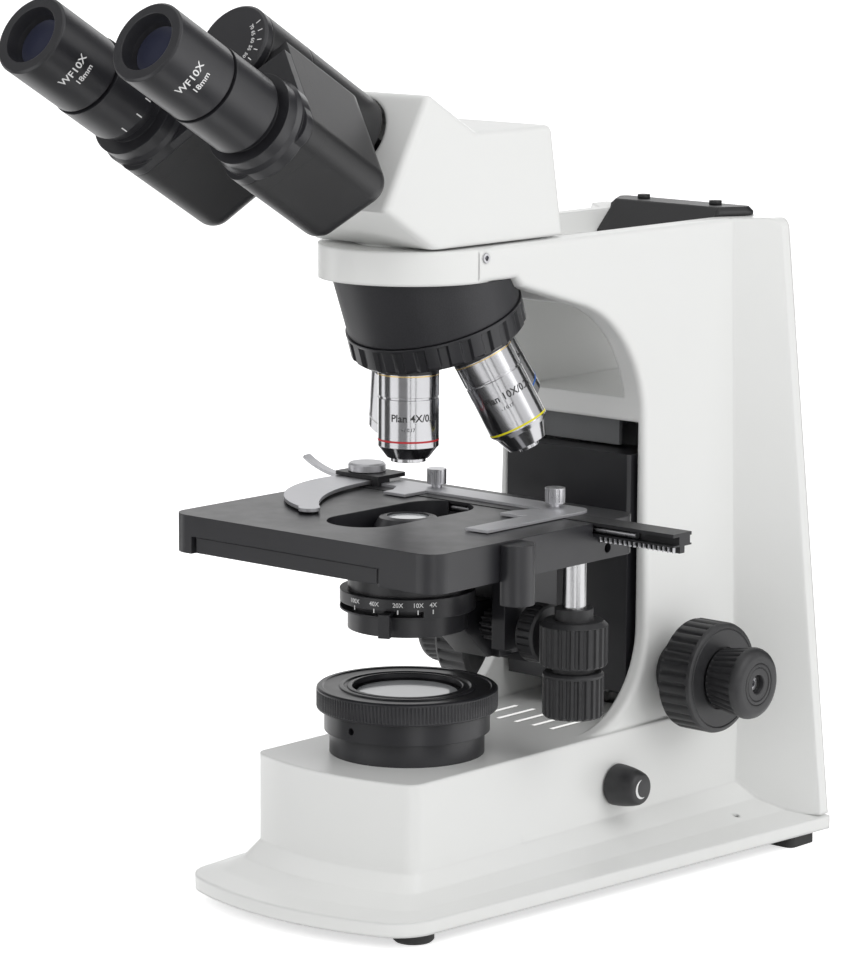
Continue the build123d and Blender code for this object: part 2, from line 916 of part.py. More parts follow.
def stage_plate():
    bottom = stage_top - stage_depth
    slab_low = stage_top - stage_slab
    outline = Pos(0, (stage_front_y + stage_rear_y) / 2) * RectangleRounded(
        2 * stage_half, stage_rear_y - stage_front_y, stage_corner
    )
    plate = extrude(Pos(0, 0, bottom) * outline, stage_depth)
    inner = stage_half - stage_skirt
    plate -= block(-inner, inner, stage_front_y + stage_skirt, stage_rear_y + 1, bottom - 1, slab_low)
    notch_top = arm_plate_top + lower_plate_thickness + slide_gap
    left = -lower_plate_half - 2
    right = lower_plate_front_half + 2
    plate -= block(left, right, stage_front_y - 1, stage_front_y + 10, bottom - 1, notch_top)
    width = 2 * opening_half
    middle = (opening_front_y + opening_rear_y) / 2
    hole = Pos(0, middle) * RectangleRounded(width, opening_rear_y - opening_front_y, opening_half - 0.5)
    plate -= extrude(Pos(0, 0, slab_low - 1) * hole, stage_slab + 2)
    for x in (-50, 50):
        plate += block(x - 3, x + 3, -36, 56, slab_low - 0.8, slab_low)
    side = stage_half + 1
    low = bar_bottom - slide_gap
    plate -= block(-side, side, bar_front_y - slide_gap, bar_rear_y + slide_gap, low, stage_top + 1)
    rack_front = drive_y + pinion_radius() - tooth_addendum - slide_gap
    rack_rear = drive_y + pinion_radius() + rack_depth + slide_gap
    plate -= block(-opening_half - 4, side, rack_front, rack_rear, low - rack_bar_drop, stage_top)
    plate -= disc(pinion_radius() + 1.2, bottom - 1, low, drive_x, drive_y)
    plate -= rod_x(2, stage_half - 3, stage_half + 1, 42, 151)
    return plate


def x_guide_rail():
    y = bar_front_y + rail_radius + 0.7
    z = (bar_bottom + bar_top) / 2 - bar_flange / 4
    end = bar_right_x - 20
    return rod_x(rail_radius, bar_left_x + 4, end - 2, y, z) + rod_x(rail_screw_radius, end - 2, end, y, z)


def drive_post():
    post = disc(7.5, 137, stage_top - 1, stage_half + 2.6, -19.5)
    return post - block(stage_half - 10, stage_half + seat_gap, -40, 0, 130, 170)


def stage_y_knob():
    top = arm_plate_top + 5
    tube = disc(drive_tube_radius, upper_knob_top, top - 5)
    gear = Pos(0, 0, top - 5) * Rot(0, 0, 180 / pinion_teeth) * pinion(4.6, 1)
    knob = turned(
        [
            (0, upper_knob_bottom),
            (upper_knob_radius - 1, upper_knob_bottom),
            (upper_knob_radius, upper_knob_bottom + 1),
            (upper_knob_radius, upper_knob_top - 2),
            (upper_knob_radius - 2, upper_knob_top),
            (0, upper_knob_top),
        ]
    )
    knob -= flutes(upper_knob_radius, 0.9, knob_ribs, upper_knob_bottom - 1, upper_knob_top - 2, 1.1)
    collar = disc(collar_radius, upper_knob_top, upper_knob_top + collar_height)
    whole = tube + gear + knob + collar
    whole -= disc(drive_core_radius + running_gap, upper_knob_bottom - 1, top + 5)
    return Pos(drive_x, drive_y, 0) * whole


def stage_x_knob():
    low = lower_knob_bottom
    high = upper_knob_bottom - knob_neck
    knob = turned(
        [
            (0, low),
            (lower_knob_radius - 1, low),
            (lower_knob_radius, low + 1),
            (lower_knob_radius, high - 1),
            (lower_knob_radius - 1, high),
            (9, high),
            (9, upper_knob_bottom - slide_gap),
            (0, upper_knob_bottom - slide_gap),
        ]
    )
    knob -= flutes(lower_knob_radius, 0.9, knob_ribs, low - 1, high - 2, 1.0)
    top = bar_bottom - slide_gap - 0.3
    core = disc(drive_core_radius, upper_knob_bottom - 1, top)
    gear = Pos(0, 0, top - rack_bar_drop + 0.4) * Rot(0, 0, 90) * pinion(rack_bar_drop - 0.4, 1)
    return Pos(drive_x, drive_y, 0) * (knob + core + gear)


def x_rack_bar():
    bar = block(bar_left_x, bar_right_x, bar_front_y, bar_rear_y, bar_bottom, bar_top)
    groove_left = bar_left_x + 4
    groove_low = bar_bottom + bar_flange / 2
    groove_top = bar_top - bar_flange
    bar -= block(groove_left, bar_right_x + 1, bar_front_y - 1, bar_front_y + 4, groove_low, groove_top)
    bar -= block(groove_left, bar_right_x + 1, bar_rear_y - 1, bar_rear_y + 1, groove_low, groove_top)
    teeth = Rot(0, 0, 180) * rack(98, rack_bar_drop, rack_depth)
    teeth = Pos(drive_x, drive_y + pinion_radius(), bar_bottom - rack_bar_drop) * teeth
    return bar + teeth + finger_bridge()


def finger_bridge():
    # Black plate over the root of the finger, carried by the left end of the bar.
    low = bar_top + finger_rise + finger_thickness + slide_gap
    high = low + bridge_thickness
    left = finger_pivot_x - 11
    front = finger_pivot_y - 9
    rear = finger_pivot_y + 9.5
    plate = block(left, bar_left_x + 7, front, rear, low, high)
    plate = fillet(plate.edges().filter_by(Axis.Z), 1.5)
    plate += block(bar_left_x + 3, bar_left_x + 7, front, bar_rear_y, bar_top - 1, high)
    return plate - disc(finger_pin_radius + running_gap, low - 1, high + 1, finger_pivot_x, finger_pivot_y)


def slide_holder():
    low = bar_top
    arm_left = holder_right_x - holder_arm
    points = [
        (holder_left_x, holder_rear_y),
        (holder_right_x, holder_rear_y),
        (holder_right_x, holder_reach_y),
        (arm_left, holder_reach_y - 1),
        (arm_left, holder_front_y - 17),
        (arm_left - 3, holder_front_y - 20),
        (arm_left - 12, holder_front_y - 20),
        (arm_left - 12, holder_front_y - 13),
        (arm_left - 6, holder_front_y),
        (-24, holder_front_y),
        (-24, holder_front_y - 14),
        (-36, holder_front_y - 14),
        (-36, holder_front_y - 8),
        (-41, holder_front_y),
        (holder_left_x, holder_front_y),
    ]
    face = make_face(Polyline(*points, close=True))
    corner = face.vertices().sort_by_distance((holder_right_x, holder_rear_y))[0]
    face = fillet(corner, 7)
    return extrude(Pos(0, 0, low) * face, holder_thickness)


def thumb_screw_places():
    return ((-27.0, 49.0), (41.0, 46.0))


def thumb_screws():
    screws = []
    low = bar_top + holder_thickness
    for x, y in thumb_screw_places():
        screw = disc(4.2, low + 1.5, low + 8)
        screw -= flutes(4.2, 0.4, 14, low + 2, low + 7.5)
        screw += disc(2.2, low, low + 1.5)
        screws.append(Pos(x, y, 0) * screw)
    return Compound(screws)


def slide_finger():
    low = bar_top + finger_rise
    high = low + finger_thickness
    outer = ThreePointArc((-9, -4), (-4, -44), (31, -76))
    tip = ThreePointArc((31, -76), (37, -79), (39, -72))
    inner = ThreePointArc((39, -72), (22, -52), (12, -26))
    back = Polyline((12, -26), (9, 0), (-9, 0), (-9, -4))
    blade = extrude(make_face(outer + tip + inner + back), high - low)
    hub = disc(finger_radius + 1, low, high)
    cap_low = high + bridge_thickness + 2 * slide_gap
    pin = disc(finger_pin_radius, low, cap_low + 1)
    cap = disc(finger_radius, cap_low, cap_low + finger_cap)
    cap = chamfer(cap.edges().sort_by(Axis.Z)[-1], 0.8)
    whole = Pos(0, 0, low) * blade + hub + pin + cap + finger_lever(low)
    return Pos(finger_pivot_x, finger_pivot_y, 0) * whole


def finger_lever(low):
    # Thumb lever that curls up from the hub towards the left.
    rise = ThreePointArc((0, low), (-20, low + 1.2), (-31, low + 7))
    under = ThreePointArc((-30.4, low + 8.2), (-20, low + 2.6), (0, low + finger_thickness))
    ends = Polyline((-31, low + 7), (-30.4, low + 8.2)) + Polyline((0, low + finger_thickness), (0, low))
    strip = extrude(Plane.XZ * make_face(rise + under + ends), 2.6, both=True)
    return Rot(0, 0, 12) * strip


# Condenser.
def condenser_body():
    body = turned(
        [
            (condenser_lens_radius, condenser_top - 1),
            (condenser_lens_radius, condenser_top),
            (condenser_neck_radius - 2, condenser_top - 0.6),
            (condenser_neck_radius, condenser_top - 4),
            (condenser_neck_radius, 150),
            (condenser_body_radius, 144),
            (condenser_body_radius, condenser_ring_top),
            (condenser_ring_radius, condenser_ring_top),
            (condenser_ring_radius, condenser_ring_bottom),
            (condenser_seat_radius, condenser_ring_bottom),
            (condenser_seat_radius, condenser_bottom),
            (condenser_lens_radius + 1, condenser_bottom),
            (condenser_lens_radius + 1, condenser_top - 5),
            (condenser_lens_radius, condenser_top - 5),
        ]
    )
    return body - iris_slot()


def iris_slot():
    low = condenser_ring_bottom + 0.8
    high = condenser_ring_bottom + 3.2
    reach = 2 * condenser_ring_radius
    side = reach * math.sin(math.radians(iris_sweep))
    front = -reach * math.cos(math.radians(iris_sweep))
    wedge = slab([(0, 0), (-side, front), (-side, -reach), (side, -reach), (side, front)], low, high)
    return wedge - disc(condenser_ring_radius - 5, low - 1, high + 1)


def iris_lever():
    front = -condenser_ring_radius
    low = condenser_ring_bottom + 0.8 + slide_gap
    high = condenser_ring_bottom + 3.2 - slide_gap
    stem = block(-1.6, 1.6, front - 5, front + 4, low, high)
    tab = block(-2.4, 2.4, front - 6, front - 3.5, condenser_ring_bottom - 7, high)
    return Rot(0, 0, 25) * (stem + tab)


def condenser_lens():
    return disc(condenser_lens_radius - seat_gap, condenser_top - 4.8, condenser_top - 0.8)


def condenser_carrier():
    low = condenser_slide_bottom
    front = condenser_slide_front
    back = condenser_slide_back
    ring_low = condenser_bottom + 0.5
    ring = disc(25, ring_low, condenser_ring_bottom)
    ring -= disc(condenser_seat_radius + seat_gap, low, condenser_slide_top)
    web = side_solid([(20.3, 115), (20.3, 121), (front + 2, 121), (front + 2, low), (front - 3, low)], 9)
    slide = block(-13, 13, front, back, low, condenser_slide_top)
    pitch_y = condenser_axis_y + pinion_radius()
    teeth = upright_rack(rack(28, 6, 2), 20, pitch_y, condenser_axis_z + pitch())
    strip = block(12, 20, front - 0.1, back, low + 3, condenser_slide_top - 4)
    body = ring + web + slide + teeth + strip
    bore = condenser_screw_radius + seat_gap
    floor = back - condenser_screw_sink - seat_gap
    for z in condenser_screw_places():
        body -= rod_y(bore, floor, back + 1, condenser_screw_x, z)
    return body


def condenser_screw_places():
    return (124.0, 102.0)


def condenser_screws():
    screws = []
    start = condenser_slide_back - condenser_screw_sink
    end = condenser_slide_back - 0.2
    for z in condenser_screw_places():
        screws.append(rod_y(condenser_screw_radius, start, end, condenser_screw_x, z))
    return Compound(screws)


def condenser_knob():
    radius = condenser_knob_radius
    width = condenser_knob_width
    knob = turned([(0, 0), (radius - 1, 0), (radius, 1), (radius, width - 1), (radius - 1, width), (0, width)])
    knob -= flutes(radius, 0.8, knob_ribs, 1.5, width - 1.5)
    shaft = disc(condenser_shaft_radius, -24, 0)
    gear = Pos(0, 0, -24) * Rot(0, 0, 90) * pinion(6, 1)
    return turned_about_x(knob + shaft + gear, condenser_knob_x, condenser_axis_y, condenser_axis_z)


# Nosepiece. Its own frame has Z along the turret axis, with the apex of the lens axes at its origin.
def turret_frame():
    tilt = math.radians(turret_tilt)
    plane = Plane(
        origin=(0, 0, turret_apex_z), x_dir=(1, 0, 0), z_dir=(0, -math.sin(tilt), math.cos(tilt))
    )
    return Location(plane)


def turret_axis():
    tilt = math.radians(turret_tilt)
    return Axis((0, 0, turret_apex_z), (0, -math.sin(tilt), math.cos(tilt)))


def nosepiece_mount():
    rim = turret_radius - 0.8
    low = -turret_upper + slide_gap
    cone = turned([(0, low), (rim, low), (rim + 1.3, low + 42), (0, low + 42)])
    body = turret_frame() * cone - block(-60, 60, -60, 90, nose_bottom, nose_bottom + 60)
    wedge = side_solid(
        [
            (nose_flat_y - seat_gap, nose_bottom),
            (nose_flat_y + nose_step - seat_gap, nose_bottom - nose_step - seat_gap),
            (arch_front_y, arch_corner_z - seat_gap),
            (arch_front_y, arm_top),
        ],
        60,
    )
    inner = arm_half - wall_thickness - slide_gap
    body -= wedge - block(-inner, inner, 0, 100, 200, 320)
    body += disc(mount_spigot_radius - seat_gap, nose_bottom, nose_bottom + 8)
    body -= disc(light_bore, 200, 280)
    return body - turret_frame() * disc(pivot_radius, -turret_upper - 5, -turret_upper + 14)


def nosepiece_pivot():
    pin = disc(pivot_radius - seat_gap / 2, -turret_upper - 13, -turret_upper + 13)
    return turret_frame() * pin


def nosepiece_turret():
    slope = math.tan(math.radians(turret_tilt))
    seat_r = objective_shoulder * math.sin(math.radians(turret_tilt))
    seat_h = objective_shoulder * math.cos(math.radians(turret_tilt))
    rim_h = seat_h - (turret_radius - 1.5 - seat_r) * slope
    body = turned(
        [
            (pivot_radius + running_gap, -turret_upper),
            (turret_radius, -turret_upper),
            (turret_radius, -rim_h + 1.5),
            (turret_radius - 1.5, -rim_h),
            (seat_r - 6, -seat_h - 6 * slope),
            (pivot_radius + running_gap, -seat_h - 6 * slope),
        ]
    )
    body -= flutes(turret_radius, 1.4, turret_ribs, -turret_lower - 6, -turret_upper - 1.2, 3.0)
    body = turret_frame() * body
    seat = turret_apex_z - objective_shoulder - objective_drop
    step = disc(objective_radius, seat, seat + 10)
    bore = disc(thread_radius, turret_apex_z - objective_shoulder - 10, turret_apex_z)
    for index in range(4):
        body += step.rotate(turret_axis(), 90 * index)
    for index in range(4):
        body -= bore.rotate(turret_axis(), 90 * index)
    return body


def objective(index, outline, bore):
    top = turret_apex_z - objective_shoulder - objective_drop
    points = [(bore, top + 7), (thread_radius - seat_gap, top + 7), (thread_radius - seat_gap, top)]
    body = objective_radius
    low = objective_groove - 0.5
    high = objective_groove + 0.5
    upper = [(body, turret_apex_z - top), (body, low), (body - 0.5, low), (body - 0.5, high), (body, high)]
    for radius, reach in upper + outline:
        points.append((radius, turret_apex_z - reach))
    points.append((bore, turret_apex_z - outline[-1][1]))
    return turned(points).rotate(turret_axis(), 90 * index)


def objective_4x():
    body = objective_radius
    outline = [(body, 96.5), (8.8, 101.4), (7.3, 101.6), (7.3, 103.1)]
    return objective(0, outline, 5.5)


def objective_10x():
    body = objective_radius
    outline = [(body, 99.2), (body - 1.6, 101.2), (8.4, 107.6), (4.4, 107.8), (4.4, 109.6)]
    return objective(1, outline, 3.5)


def long_objective(index):
    outline = [(objective_radius, 106), (8, 110)]
    return objective(index, outline, 6 + running_gap)


def nose_cone(index):
    tip = turret_apex_z - 120.8
    points = [(2, tip), (3.4, tip), (6, tip + 6), (6, turret_apex_z - 100), (2, turret_apex_z - 100)]
    return turned(points).rotate(turret_axis(), 90 * index)


# Head. Its own frame has Z along the eye tubes, towards the user, from the lower front edge of the housing.
def head_frame():
    slope = math.radians(tube_slope)
    plane = Plane(
        origin=(0, head_face_y, head_face_z),
        x_dir=(1, 0, 0),
        z_dir=(0, -math.cos(slope), math.sin(slope)),
    )
    return Location(plane)


def head_point(across, along):
    slope = math.radians(tube_slope)
    y = head_face_y - along * math.cos(slope) + across * math.sin(slope)
    z = head_face_z + along * math.sin(slope) + across * math.cos(slope)
    return (y, z)


def head_housing():
    bottom_run = (head_face_z - head_base) / math.sin(math.radians(tube_slope))
    profile = [
        head_point(0, 0),
        head_point(head_face_height, 0),
        head_point(head_face_height, -head_top_run),
        (head_rear_top_y, head_top),
        (head_rear_base_y, head_base),
        head_point(0, -bottom_run),
    ]
    body = side_solid(profile, head_half)
    edges = body.edges().filter_by(Axis.X)
    body = fillet([edge for edge in edges if edge.center().Z > head_face_z + 5], head_edge + 0.5)
    sides = [edge for edge in body.edges() if abs(abs(edge.center().X) - head_half) < slide_gap]
    body = fillet([edge for edge in sides if edge.center().Z > head_base + 1], head_edge)
    slot = disc(hinge_radius + slide_gap, -prism_back, 60)
    body -= head_frame() * Pos(0, hinge_up, 0) * slot
    body += disc(head_socket_radius - slide_gap, arm_top - 5.5, head_base + 1)
    body -= disc(light_bore, arm_top - 10, head_base + 30)
    hole = disc(hinge_pin_radius, -prism_back - 12, 5)
    return body - head_frame() * Pos(0, hinge_up, 0) * hole


def head_pivot():
    pin = disc(hinge_pin_radius - seat_gap / 2, -prism_back - 12, hinge_front - 4)
    cap = disc(hinge_radius, hinge_front - 4, hinge_front)
    cap = chamfer(cap.edges().sort_by(Axis.Z)[-1], 1)
    return head_frame() * Pos(0, hinge_up, 0) * (pin + cap)


def swing_angle():
    return math.degrees(math.asin(eye_half / arm_swing))


def arm_location(side):
    # Local -Y runs from the hinge to the eye tube.
    return head_frame() * Pos(0, hinge_up, 0) * Rot(0, 0, side * swing_angle())


def arm_outline(side, start):
    # The inner corner is cut back so that the two arms can close to the narrowest eye distance.
    narrow = math.asin(eye_half_narrow / arm_swing)
    low = -arm_swing - prism_end
    half = prism_half - 0.15
    inner_low = -half / math.tan(narrow)
    inner_high = -start * math.tan(narrow)
    corners = [
        (side * half, -start),
        (side * half, low),
        (-side * half, low),
        (-side * half, inner_low),
        (side * inner_high, -start),
    ]
    face = make_face(Polyline(*corners, close=True))
    ends = face.vertices().sort_by(Axis.Y)[:2]
    return fillet(ends, prism_corner)


def prism_box(side):
    shell = extrude(Pos(0, 0, prism_back) * arm_outline(side, 12), prism_front - prism_back)
    rear_edges = shell.edges().filter_by(Plane.XY).group_by(Axis.Z)[0].sort_by(Axis.Y)[:4]
    shell = fillet(rear_edges, prism_rear_edge)
    front = (prism_back + hinge_front - 4) / 2
    if side > 0:
        knuckle = (prism_back - 20, front - 0.15)
    else:
        knuckle = (front + 0.15, hinge_front - 4 - slide_gap)
    shell -= disc(hinge_radius + 0.3, prism_back - 1, prism_front + 1)
    barrel = disc(hinge_radius, knuckle[0], knuckle[1])
    web_low = max(knuckle[0], prism_back)
    web_high = min(knuckle[1], prism_front)
    outline = [(0, 0), (side * 12, -8), (side * 12, -25), (-side * 12, -25), (-side * 9, -15)]
    web = slab(outline, web_low, web_high)
    shell = shell + barrel + web
    shell -= disc(hinge_pin_radius + running_gap, -30, 90)
    shell -= Pos(0, -arm_swing, 0) * disc(10, prism_back + 8, 90)
    return arm_location(side) * shell


def eyetube(side):
    plate = extrude(Pos(0, 0, prism_front) * arm_outline(side, 19), flange_plate)
    base = prism_front + flange_plate
    outer = tube_radius if side > 0 else eyepiece_barrel + 2.2
    profile = [
        (10, prism_front),
        (eye_ring_radius + 1, prism_front),
        (eye_ring_radius + 1, base + 1),
        (eye_ring_radius, base + 3),
        (eye_ring_radius, ring_front),
        (tube_neck_radius, ring_front),
        (tube_neck_radius, ring_front + 4),
        (outer, ring_front + 4),
        (outer, tube_front),
        (eyepiece_bore, tube_front),
        (eyepiece_bore, prism_front + 6),
        (10, prism_front + 6),
    ]
    tube = Pos(0, -arm_swing, 0) * turned(profile)
    return arm_location(side) * (plate + tube - Pos(0, -arm_swing, 0) * disc(10, 0, 90))


def dioptre_ring():
    inner = eyepiece_barrel + 2.2 + running_gap
    low = ring_front + 4 + slide_gap
    high = tube_front - slide_gap
    ring = turned(
        [(inner, low), (tube_radius - 1.2, low), (tube_radius, low + 4), (tube_radius, high), (inner, high)]
    )
    return arm_location(-1) * Pos(0, -arm_swing, 0) * ring


def eyepiece(side):
    low = tube_front
    high = eyepiece_front
    r = eyepiece_radius
    body = turned(
        [
            (eyepiece_barrel - 1.5, low - 25),
            (eyepiece_barrel, low - 25),
            (eyepiece_barrel, low),
            (r - 1, low + 0.2),
            (r - 1, low + 1.2),
            (r, low + 1.4),
            (r, high - 0.8),
            (r - 0.8, high),
            (r - 4.5, high),
            (r - 5.5, high - 5),
            (eyepiece_barrel - 1.5, high - 7),
        ]
    )
    return arm_location(side) * Pos(0, -arm_swing, 0) * body


def eye_lens(side):
    high = eyepiece_front
    lens = disc(eyepiece_barrel - 1.6, high - 12, high - 7)
    return arm_location(side) * Pos(0, -arm_swing, 0) * lens


def pieces():
    return {
        "stand_casting": stand_casting(),
        "base_plate": base_plate(),
        "rubber_feet": rubber_feet(),
        "housing_screws": housing_screws(),
        "handle_cover": handle_cover(),
        "head_lock_screw": head_lock_screw(),
        "field_lens_housing": field_lens_housing(),
        "field_ring": field_ring(),
        "field_lens": field_lens(),
        "lamp_module": lamp_module(),
        "circuit_board": circuit_board(),
        "power_inlet": power_inlet(),
        "power_switch": power_switch(),
        "dimmer_knob": dimmer_knob(),
        "coarse_knob_right": coarse_knob(1),
        "coarse_knob_left": coarse_knob(-1),
        "coarse_shaft": coarse_shaft(),
        "fine_knob_right": fine_knob(1),
        "fine_knob_left": fine_knob(-1),
        "fine_shaft": fine_shaft(),
        "focus_guide": focus_guide(),
        "focus_carriage": focus_carriage(),
        "focus_rack": focus_rack(),
        "carriage_cover": carriage_cover(),
        "stage_lower_plate": stage_lower_plate(),
        "stage_plate": stage_plate(),
        "x_guide_rail": x_guide_rail(),
        "drive_post": drive_post(),
        "stage_y_knob": stage_y_knob(),
        "stage_x_knob": stage_x_knob(),
        "x_rack_bar": x_rack_bar(),
        "slide_holder": slide_holder(),
        "thumb_screws": thumb_screws(),
        "slide_finger": slide_finger(),
        "condenser_body": condenser_body(),
        "condenser_lens": condenser_lens(),
        "condenser_carrier": condenser_carrier(),
        "condenser_screws": condenser_screws(),
        "condenser_knob": condenser_knob(),
        "iris_lever": iris_lever(),
        "nosepiece_mount": nosepiece_mount(),
        "nosepiece_pivot": nosepiece_pivot(),
        "nosepiece_turret": nosepiece_turret(),
        "objective_4x": objective_4x(),
        "objective_10x": objective_10x(),
        "objective_40x": long_objective(2),
        "objective_100x": long_objective(3),
        "nose_40x": nose_cone(2),
        "nose_100x": nose_cone(3),
        "head_housing": head_housing(),
        "head_pivot": head_pivot(),
        "prism_box_right": prism_box(1),
        "prism_box_left": prism_box(-1),
        "eyetube_right": eyetube(1),
        "eyetube_left": eyetube(-1),
        "eyepiece_right": eyepiece(1),
        "eyepiece_left": eyepiece(-1),
        "eye_lens_right": eye_lens(1),
        "eye_lens_left": eye_lens(-1),
        "dioptre_ring": dioptre_ring(),
    }


def main():
    os.makedirs("parts", exist_ok=True)
    shift = Location((footprint_shift_x, footprint_shift_y, 0))
    for name, shape in pieces().items():
        export_step(shape.moved(shift), f"parts/{name}.step")


if __name__ == "__main__":
    main()
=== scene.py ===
import json
import math

import bmesh
import bpy
from mathutils import Matrix, Vector


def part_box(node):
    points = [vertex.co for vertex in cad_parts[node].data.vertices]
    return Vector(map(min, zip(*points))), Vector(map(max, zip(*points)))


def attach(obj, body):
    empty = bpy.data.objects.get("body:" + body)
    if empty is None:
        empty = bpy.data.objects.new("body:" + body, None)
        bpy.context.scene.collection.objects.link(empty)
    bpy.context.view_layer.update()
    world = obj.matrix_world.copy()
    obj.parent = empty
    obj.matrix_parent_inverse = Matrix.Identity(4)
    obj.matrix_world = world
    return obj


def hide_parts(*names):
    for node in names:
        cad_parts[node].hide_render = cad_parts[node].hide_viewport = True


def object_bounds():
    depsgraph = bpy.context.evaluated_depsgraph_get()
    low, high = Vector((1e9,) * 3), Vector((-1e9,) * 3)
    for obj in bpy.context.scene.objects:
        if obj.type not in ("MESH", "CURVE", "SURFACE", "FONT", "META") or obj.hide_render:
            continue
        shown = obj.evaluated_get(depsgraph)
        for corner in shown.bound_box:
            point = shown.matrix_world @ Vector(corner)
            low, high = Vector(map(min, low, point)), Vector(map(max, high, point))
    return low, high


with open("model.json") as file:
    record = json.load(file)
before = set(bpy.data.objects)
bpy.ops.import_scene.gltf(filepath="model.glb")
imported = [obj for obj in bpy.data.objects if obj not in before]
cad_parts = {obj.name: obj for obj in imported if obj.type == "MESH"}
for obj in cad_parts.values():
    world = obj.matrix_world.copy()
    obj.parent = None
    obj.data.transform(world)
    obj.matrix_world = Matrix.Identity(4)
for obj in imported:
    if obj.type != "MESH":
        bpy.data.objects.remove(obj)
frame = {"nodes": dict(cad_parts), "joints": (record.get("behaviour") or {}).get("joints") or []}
cad_low, cad_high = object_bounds()

bl_info = {
    "name": "Compound microscope",
    "version": (1, 0, 0),
    "blender": (4, 5, 0),
    "location": "3D View > Sidebar > Microscope",
    "description": "Finishes, markings, light and camera for a packed compound microscope",
    "category": "Object",
}

MM = 0.001

# Light from all round, and the floor's own light where it is seen or mirrored
SOFT_LIGHT = 0.76
FLOOR_GLOW = 0.60
# Dark cards round the object, seen only in its reflections: first and last angle from the camera's side,
# how pale each card is, and the distance and height of its low and its high edge
CARDS = (
    (-38, -3, 0.36, (0.80, 0.0), (0.80, 1.7)),
    (-17, -13, 0.05, (0.79, 0.0), (0.79, 1.7)),
    (6, 9, 0.05, (0.78, 0.0), (0.78, 1.7)),
    (26, 29, 0.12, (0.77, 0.0), (0.77, 1.7)),
    (108, 152, 0.05, (0.76, 0.0), (0.76, 1.7)),
    (-100, -72, 0.10, (0.75, 0.0), (0.75, 1.7)),
    (-150, -120, 0.10, (0.74, 0.0), (0.74, 1.7)),
    (-105, 4, 0.06, (0.70, 0.001), (0.17, 0.001)),
    (22, 60, 0.06, (0.70, 0.001), (0.17, 0.001)),
)

# Places along an objective, measured from the point where the four axes meet
OBJECTIVE_RADIUS = 12.7 * MM
BRASS_REACH = 66.6 * MM
TEXT_REACH = 84.0 * MM
SMALL_TEXT_REACH = 88.6 * MM
TEXT_TURN = 0.28
BAND_HEIGHT = 0.8 * MM

# Top of the rack under the cross bar, and the line that its teeth's tips stand beyond
RACK_TOP = 157.4 * MM
RACK_TIP_Y = 37.4 * MM
# Top of the collar on the upper drive knob, where its steel stem starts
STEM_START = 126.6 * MM
# Fine knurl of the ring round the field lens
KNURL_COUNT = 150
KNURL_DEPTH = 0.35 * MM
# Air slots behind the lamp
VENT_COUNT = 5
VENT_PITCH = 10.0 * MM
VENT_WIDTH = 2.16 * MM
VENT_LENGTH = 24.8 * MM
VENT_REAR = 45.0 * MM
# Seam of the prism boxes' covers, along the eye tubes from the hinge
SEAM_REACH = 66.0 * MM

# Optical axis of the instrument, from the node that stands on it
drum_low, drum_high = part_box("field_lens_housing")
AXIS_X = (drum_low.x + drum_high.x) / 2
AXIS_Y = (drum_low.y + drum_high.y) / 2
joints = {joint["name"]: joint for joint in frame["joints"]}
TURRET_POINT = Vector(joints["turret_turn"]["pos_m"])
TURRET_AXIS = Vector(joints["turret_turn"]["axis"]).normalized()
TUBE_AXIS = Vector(joints["right_arm_swing"]["axis"]).normalized()
HINGE_POINT = Vector(joints["right_arm_swing"]["pos_m"])


# Sizes and colours that a user would change
class LookSettings(bpy.types.PropertyGroup):
    enamel: bpy.props.FloatVectorProperty(
        name="Enamel", description="Colour of the painted stand and head", subtype="COLOR",
        default=(0.80, 0.805, 0.80), size=3, min=0, max=1)
    black: bpy.props.FloatVectorProperty(
        name="Black finish", description="Colour of the black anodised parts", subtype="COLOR",
        default=(0.012, 0.012, 0.014), size=3, min=0, max=1)
    plastic: bpy.props.FloatVectorProperty(
        name="Black plastic", description="Colour of knobs and boxes", subtype="COLOR",
        default=(0.013, 0.013, 0.014), size=3, min=0, max=1)
    marking: bpy.props.FloatVectorProperty(
        name="Markings", description="Colour of numbers and ticks", subtype="COLOR",
        default=(0.8, 0.8, 0.8), size=3, min=0, max=1)


class MarkSettings(bpy.types.PropertyGroup):
    figure_height: bpy.props.FloatProperty(
        name="Figure height", description="Height of the condenser's figures", unit="LENGTH",
        default=2.6 * MM, min=0.5 * MM, max=6 * MM)
    tick_width: bpy.props.FloatProperty(
        name="Tick width", description="Width of a scale tick", unit="LENGTH",
        default=0.5 * MM, min=0.1 * MM, max=2 * MM)
    band_rise: bpy.props.FloatProperty(
        name="Band rise", description="How far a painted band or figure stands proud", unit="LENGTH",
        default=0.06 * MM, min=0.01 * MM, max=0.5 * MM)


